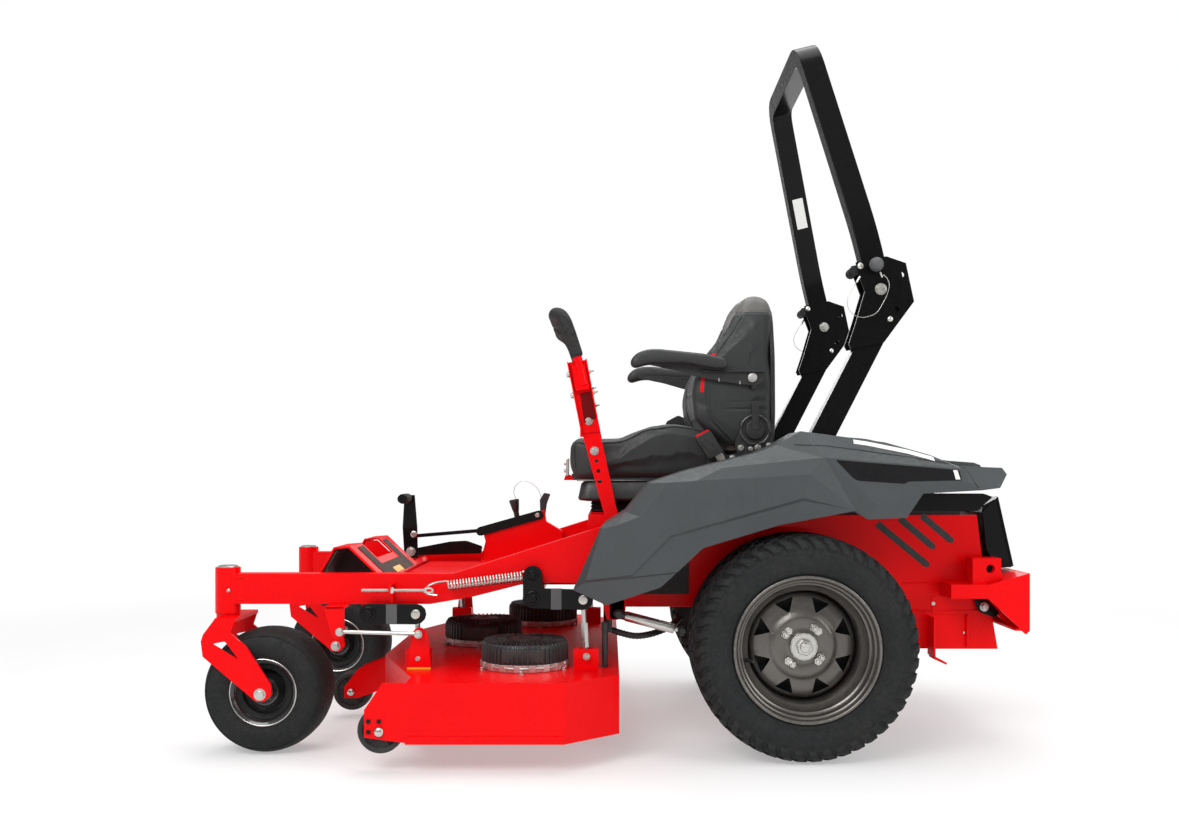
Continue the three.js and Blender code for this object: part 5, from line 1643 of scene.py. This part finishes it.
def rear_covers(side, label):
    """The slots in the rear frame's side, the plain dark plates that close the back and the drive, and a
    black plate painted as the shade inside the rear gusset.
    """
    vents = Shape()
    for start, end in (((720, 602), (858, 488)), ((784, 616), (875, 538)), ((845, 624), (926, 556))):
        vents.plate(band_between(start, end, 19), 289.5, 290.7, side)
    build(f"rear_vents_{label}", vents, CASE, "chassis", bevel=0.3)
    cover = rounded([(664, 637.5), (1006, 637.5), (1018, 652), (1046, 676), (1020, 686), (664, 686)], 6, 3)
    cut_sheet(f"battery_cover_{label}", cover, 279, 288, BLACK, "chassis", 1.5, side)
    cheek = [(1019, 640), (1020, 652), (1064, 675), (1104, 486), (1102, 478), (1058, 478), (1030, 530)]
    cut_sheet(f"rear_cheek_{label}", rounded(cheek, 5, 3), 273, 279, BLACK, "chassis", 1.2, side)
    guard = rounded([(40, 404), (192, 404), (192, 500), (130, 500)], 5, 3)
    cut_sheet(f"drive_guard_{label}", guard, 291, 293.5, CASE, "chassis", side=side)
    # A black plate painted as the shade inside the rear gusset, round the bolt.
    shade_plate = rounded([(985, 398), (1012, 402), (1060, 352), (1042, 340), (1000, 356)], 5, 3)
    cut_sheet(f"gusset_painted_shade_{label}", shade_plate, 299, 305, BLACK, "chassis", 1.0, side)


def rear_tabs(side, label):
    """Folded tabs and plates low on the rear frame, with their bolts and the tie-down hole."""
    tab = Shape().plate([(861, 236), (867, 236), (867, 345), (861, 345)], 291, 352, side)
    tab.plate([(861, 232), (896, 216), (899, 221), (866, 238)], 300, 352, side)
    tab.plate([(968, 256), (974, 256), (974, 346), (968, 346)], 290.2, 304, side)
    tab.plate(rounded([(873, 399), (985, 399), (985, 347), (873, 347)], 4, 2), 290.2, 293, side)
    tab.plate(rounded([(792, 362), (876, 362), (876, 251), (818, 251)], 4, 2), 284.5, 289.5, side)
    for z in (357.5, 435):
        tab.block(at(902, 292.2, z, side), (220, 4, 3))
    build(f"rear_tabs_{label}", tab, RED, "chassis", bevel=1.0)
    out = outward(side)
    bolts = Shape().hex_bolt(at(1016, 305, 370, side), out, 18, 9)
    bolts.hex_bolt(at(877, 293, 378, side), out, 8, 4)
    bolts.dome(at(964, 291, 296, side), out, 5, 4)
    build(f"rear_bolts_{label}", bolts, STEEL, "chassis", bevel=0.5)
    hole = Shape().turned([(13, -0.4), (13, 0.5)], at(1013, 345, 481, side), out, 24)
    build(f"tie_hole_{label}", hole, LABEL_DARK, "chassis")


def roof_height(x):
    """The height of the fender's top edge."""
    for (start, start_z, _), (end, end_z, _) in zip(FENDER_ROOF, FENDER_ROOF[1:]):
        if start <= x <= end:
            return start_z + (end_z - start_z) * (x - start) / (end - start)
    return FENDER_ROOF[-1][1]


def projected(obj, top, width, side, low, high, steps=8):
    """A thin band that follows the fender's outer side: its top line in (x, z), and how far it hangs down."""
    tree = BVHTree.FromObject(obj, bpy.context.evaluated_depsgraph_get())
    outside = 700
    section = ((0, low), (width / 2, low), (width, low), (width, high), (width / 2, high), (0, high))
    rings = []
    for i in range((len(top) - 1) * steps + 1):
        span = min(i // steps, len(top) - 2)
        a, b = top[span], top[span + 1]
        share = i / steps - span
        x, z = a[0] + (b[0] - a[0]) * share, a[1] + (b[1] - a[1]) * share
        z = min(z, roof_height(x) - 3)
        ring = []
        for drop, lift in section:
            start = at(x, outside, z - drop, side)
            place = tree.ray_cast(start, -outward(side))[0] or tree.find_nearest(start)[0]
            ring.append(place + outward(side) * (lift * MM))
        rings.append(ring)
    return Shape().rings(rings)


HOOD_BANDS = [  # name, material, top line, width, how far it goes in and stands out
    ("hood_strip", LABEL_PALE, [(606, 831), (640, 826), (700, 814), (760, 802), (812, 788)], 11, -1, 0.8),
    ("hood_seam", LABEL_DARK, [(449, 818), (530, 815), (601, 806), (777, 782), (860, 769), (895, 757),
                               (906, 722), (920, 706)], 2.2, -1.2, 0.4),
    ("hood_slot", LABEL_DARK, [(768, 783), (800, 779), (848, 771)], 5, -1.2, 0.7),
]


def hood_details(side, label):
    """Above each fender's flank: a plain pale strip, and the seam where the hood begins."""
    skin = bpy.data.objects[f"fender_shell_{label}"]
    for name, material, line, width, low, high in HOOD_BANDS:
        band = projected(skin, line, width, side, low, high)
        build(f"{name}_{label}", band, material, "chassis", smooth=30)


on_both_sides(lap_bar_grip, lap_bar_channel, lever_base, rops_post, rops_pin, rear_covers, rear_tabs,
              hood_details)
rops_label()


# ---------------------------------------------------------------- front frame
def barrel_details(side, label):
    """On the caster barrel: its cap, its grease fitting, and two weld beads to the rail."""
    pivot = PIVOT[f"caster_swivel_{label}"]
    lateral = side * (pivot.y - CENTRE_Y) / MM
    crown = Vector((pivot.x, pivot.y, 0.4902))
    cap = Shape().turned([(27, 0), (27, 2.5), (22, 5), (10, 6), (2, 6)], crown, Z_AXIS, 40)
    build(f"barrel_cap_{label}", cap, STEEL, "chassis", smooth=35)
    zerk = Shape().turned([(4.5, -1), (4.5, 3), (2.6, 4), (3.2, 8), (2, 9.5)],
                          at(-1046, lateral + 31, 430, side), outward(side), 16)
    build(f"barrel_fitting_{label}", zerk, STEEL, "chassis", smooth=35)
    weld = Shape()
    for z in (404, 464):
        weld.tube([at(x, 438.2, z, side) for x in (-1024, -1016, -1008)], 2.4, 8)
    build(f"barrel_welds_{label}", weld, RED, "chassis", smooth=60)


def fork_details(side, label):
    """The caster fork with the windows in its legs, and the axle's bolt heads."""
    body = f"caster_swivel_{label}"
    low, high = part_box(f"caster_fork_{label}")
    pivot = PIVOT[body]
    axle = PIVOT[f"caster_spin_{label}"]
    reach = (high.y - low.y) / 2 / MM
    bolts = Shape()
    for face in (-1, 1):
        centre = Vector((axle.x, pivot.y + face * (reach - 7) * MM, axle.z))
        bolts.hex_bolt(centre, outward(face), 22, 6)
    build(f"fork_bolts_{label}", bolts, STEEL, body, bevel=0.6)
    lateral = side * (pivot.y - CENTRE_Y) / MM
    window = Shape().plate(rounded([(-1068, 297), (-1034, 304), (-998, 256)], 5, 3), lateral - 125,
                           lateral + 125, side)
    recut(f"caster_fork_{label}", window, RED, body, 1.5)


def stay_bracket(side, label):
    """The red bracket under the rail that the stay hangs from."""
    ear = rounded([(-779, 392), (-726, 392), (-726, 315), (-736, 309), (-752, 309), (-760, 315)], 6, 3)
    bracket = Shape().plate(ear, 489, 495, side)
    bracket.plate([(-779, 393), (-726, 393), (-726, 387), (-779, 387)], 438, 495, side)
    build(f"stay_bracket_{label}", bracket, RED, "chassis", bevel=1.0)


RAMP_CREST, RAMP_FOOT = Vector((-739, 542)), Vector((-641, 449))  # the rear slope's ends, in (x, z)


def on_slope(along, lateral, lift):
    """A place on the foot ramp's rear slope, from 0 at its crest to 1 at its foot."""
    place = RAMP_CREST.lerp(RAMP_FOOT, along)
    return at(place.x + 0.688 * lift, lateral, place.y + 0.725 * lift)


def slope_patch(shape, along, lateral, lift, thick):
    """A flat patch on that slope, between two places down it and two across it."""
    corners = [(along[0], lateral[0]), (along[0], lateral[1]), (along[1], lateral[1]), (along[1], lateral[0])]
    return shape.rings([[on_slope(a, b, height) for a, b in corners] for height in (lift, lift + thick)])


def ramp_details():
    """Grip tape and a plain label on the rear slope, a red web that closes the far arch, black sheets painted
    as the shade inside the open near arch, and a folded hem at its edges.
    """
    grip = Shape()
    for along, lateral in (((0.08, 0.96), (254, 323)), ((0.08, 0.96), (-86, -24)), ((0.62, 0.80), (-24, 254)),
                           ((0.80, 0.96), (190, 254)), ((0.80, 0.96), (-24, 66))):
        slope_patch(grip, along, lateral, 3.2, 1.3)
    build("ramp_grip", grip, GRIP_TAPE, "chassis", bevel=0.3)
    build("ramp_label", slope_patch(Shape(), (0.79, 0.95), (74, 182), 3.2, 0.9), LABEL_AMBER, "chassis")
    section = [(-824, 449), (-775, 534), (-741, 537), (-649, 449)]
    # The near web and the strip after it are black sheets painted as the shade inside the open near end of
    # the arch.
    cut_sheet("ramp_painted_shade_near", section, 232, 235, CASE, "chassis")
    shade_strip = [(-822, 449), (-773.5, 533), (-770.5, 531), (-818, 449)]
    cut_sheet("ramp_painted_shade_strip", shade_strip, 236, 383, CASE, "chassis", 0.5)
    cut_sheet("ramp_web_far", section, -12, -9, RED, "chassis")
    rim = Shape()
    hem = [(-832, 449), (-779, 541), (-738, 544.5), (-641, 452)]
    for lateral in (385, -5):
        rim.tube([at(x, lateral, z) for x, z in hem], 1.5, 8)
    build("ramp_edge", rim, RED, "chassis", smooth=60)


def pedal_details():
    """The far side's controls: the lift pedal's roller, link ring and pivot bolt, its fixed lever, and a bolt
    on the console.
    """
    face = 329.5
    facing = outward(LEFT)
    roller = Shape().turned([(15.5, -2), (16.5, 2), (16.5, 86), (14, 90), (4, 91)],
                            at(-706, 332, 658, RIGHT), facing, 32)
    build("pedal_roller", roller, FOAM, "pedal", smooth=40)
    ring = Shape().turned([(11, 0), (11, 3), (8, 4.5), (7, 4.5), (7, 1)],
                          at(-684, face, 538, RIGHT), facing, 32)
    build("pedal_link_ring", ring, STEEL, "pedal", smooth=35)
    pivot = Shape().hex_bolt(at(-694, face, 480, RIGHT), facing, 22, 9)
    build("pedal_pivot_bolt", pivot, STEEL, "pedal", bevel=0.5)
    lever = rounded([(-676, 468), (-676, 492), (-561, 514), (-507, 517), (-453, 498), (-458, 474)], 6, 3)
    cut_sheet("pedal_fixed_lever", lever, 318, 324, BLACK, "chassis", 1.0, RIGHT)
    screw = Shape().hex_bolt(at(-271, 341, 601, RIGHT), facing, 15, 6)
    build("console_bolt", screw, STEEL, "pedal_link", bevel=0.4)


def console_details():
    """The height pin's knob with its lanyard, and the parking brake's lever."""
    axis = Vector((-0.18, 0, 0.98)).normalized()
    knob = Shape().turned([(9, 0), (9, 22), (12, 34), (17, 62), (16, 66), (4, 67)],
                          at(-340, 362, 588, RIGHT), axis, 28)
    build("height_pin_knob", knob, MOTOR, "chassis", smooth=40)
    stalk = rounded([(-262, 598), (-246, 598), (-240, 640), (-228, 672), (-250, 676), (-264, 652)], 4, 3)
    cut_sheet("parking_brake_lever", stalk, 352, 364, MOTOR, "chassis", 2.0, RIGHT)
    route = [(-345, 362, 655), (-352, 362, 676), (-346, 362, 700), (-324, 362, 716), (-296, 362, 710),
             (-272, 362, 690), (-262, 362, 668), (-257, 361, 650)]
    lanyard("height_pin_lanyard", route, 6, RIGHT, "chassis")


# ---------------------------------------------------------------- under the frame
def damper(side, label):
    """A gas damper between the frame and the drive, on a welded ear."""
    start, end = at(-6, 452, 368, side), at(158, 452, 325, side)
    ahead = (end - start).normalized()
    tube = Shape().turned([(12, 18), (13.5, 22), (13.5, 150), (12, 154), (6, 155), (6, 172)],
                          start, ahead, 32)
    build(f"damper_{label}", tube, STEEL, "chassis", smooth=35)
    ends = Shape()
    for place in (start, end + ahead * 0.006):
        ends.turned([(8, -13), (13, -8), (14, 0), (13, 8), (8, 13)], place, Y_AXIS, 24)
    ends.turned([(11, 6), (12, 16), (12, 19)], start, ahead, 24)
    build(f"damper_ends_{label}", ends, MOTOR, "chassis", smooth=40)
    ear = rounded([(-30, 352), (-30, 408), (10, 408), (14, 380), (6, 358), (-8, 350)], 8, 3)
    cut_sheet(f"damper_ear_{label}", ear, 433.5, 438, RED, "chassis", 1.0, side)


def conduit(side, label):
    """A ribbed conduit along the frame, held by a clip."""
    route = [(-30, 405, 322), (0, 408, 312), (40, 410, 304), (80, 404, 308), (120, 380, 318), (150, 340, 330),
             (165, 294, 338)]
    line = curve_through([at(*place, side) for place in route], 9)
    ribs = [9.5 if k % 2 else 7.8 for k in range(len(line))]
    build(f"frame_conduit_{label}", Shape().tube(line, ribs, 14), CABLE, "chassis", smooth=50)
    clip = Shape().block(at(-30, 412, 336, side), (14, 40, 40))
    build(f"conduit_clip_{label}", clip, MOTOR, "chassis", bevel=2)


def deck_trim(side, label):
    """A post at the deck's rear corner, and an amber strip on its front bracket."""
    post = Shape().turned([(8, 0), (8, 96), (10, 98), (10, 118), (4, 120)],
                          at(-42, 452, 228, side), Z_AXIS, 20)
    build(f"deck_post_{label}", post, MOTOR, "deck", bevel=0.6)
    strip = Shape().block(at(-532, 484.6, 229, side), (62, 0.8, 5))
    build(f"deck_bracket_strip_{label}", strip, LABEL_AMBER, "deck")


on_both_sides(barrel_details, fork_details, stay_bracket, damper, conduit, deck_trim)
ramp_details()
pedal_details()
console_details()
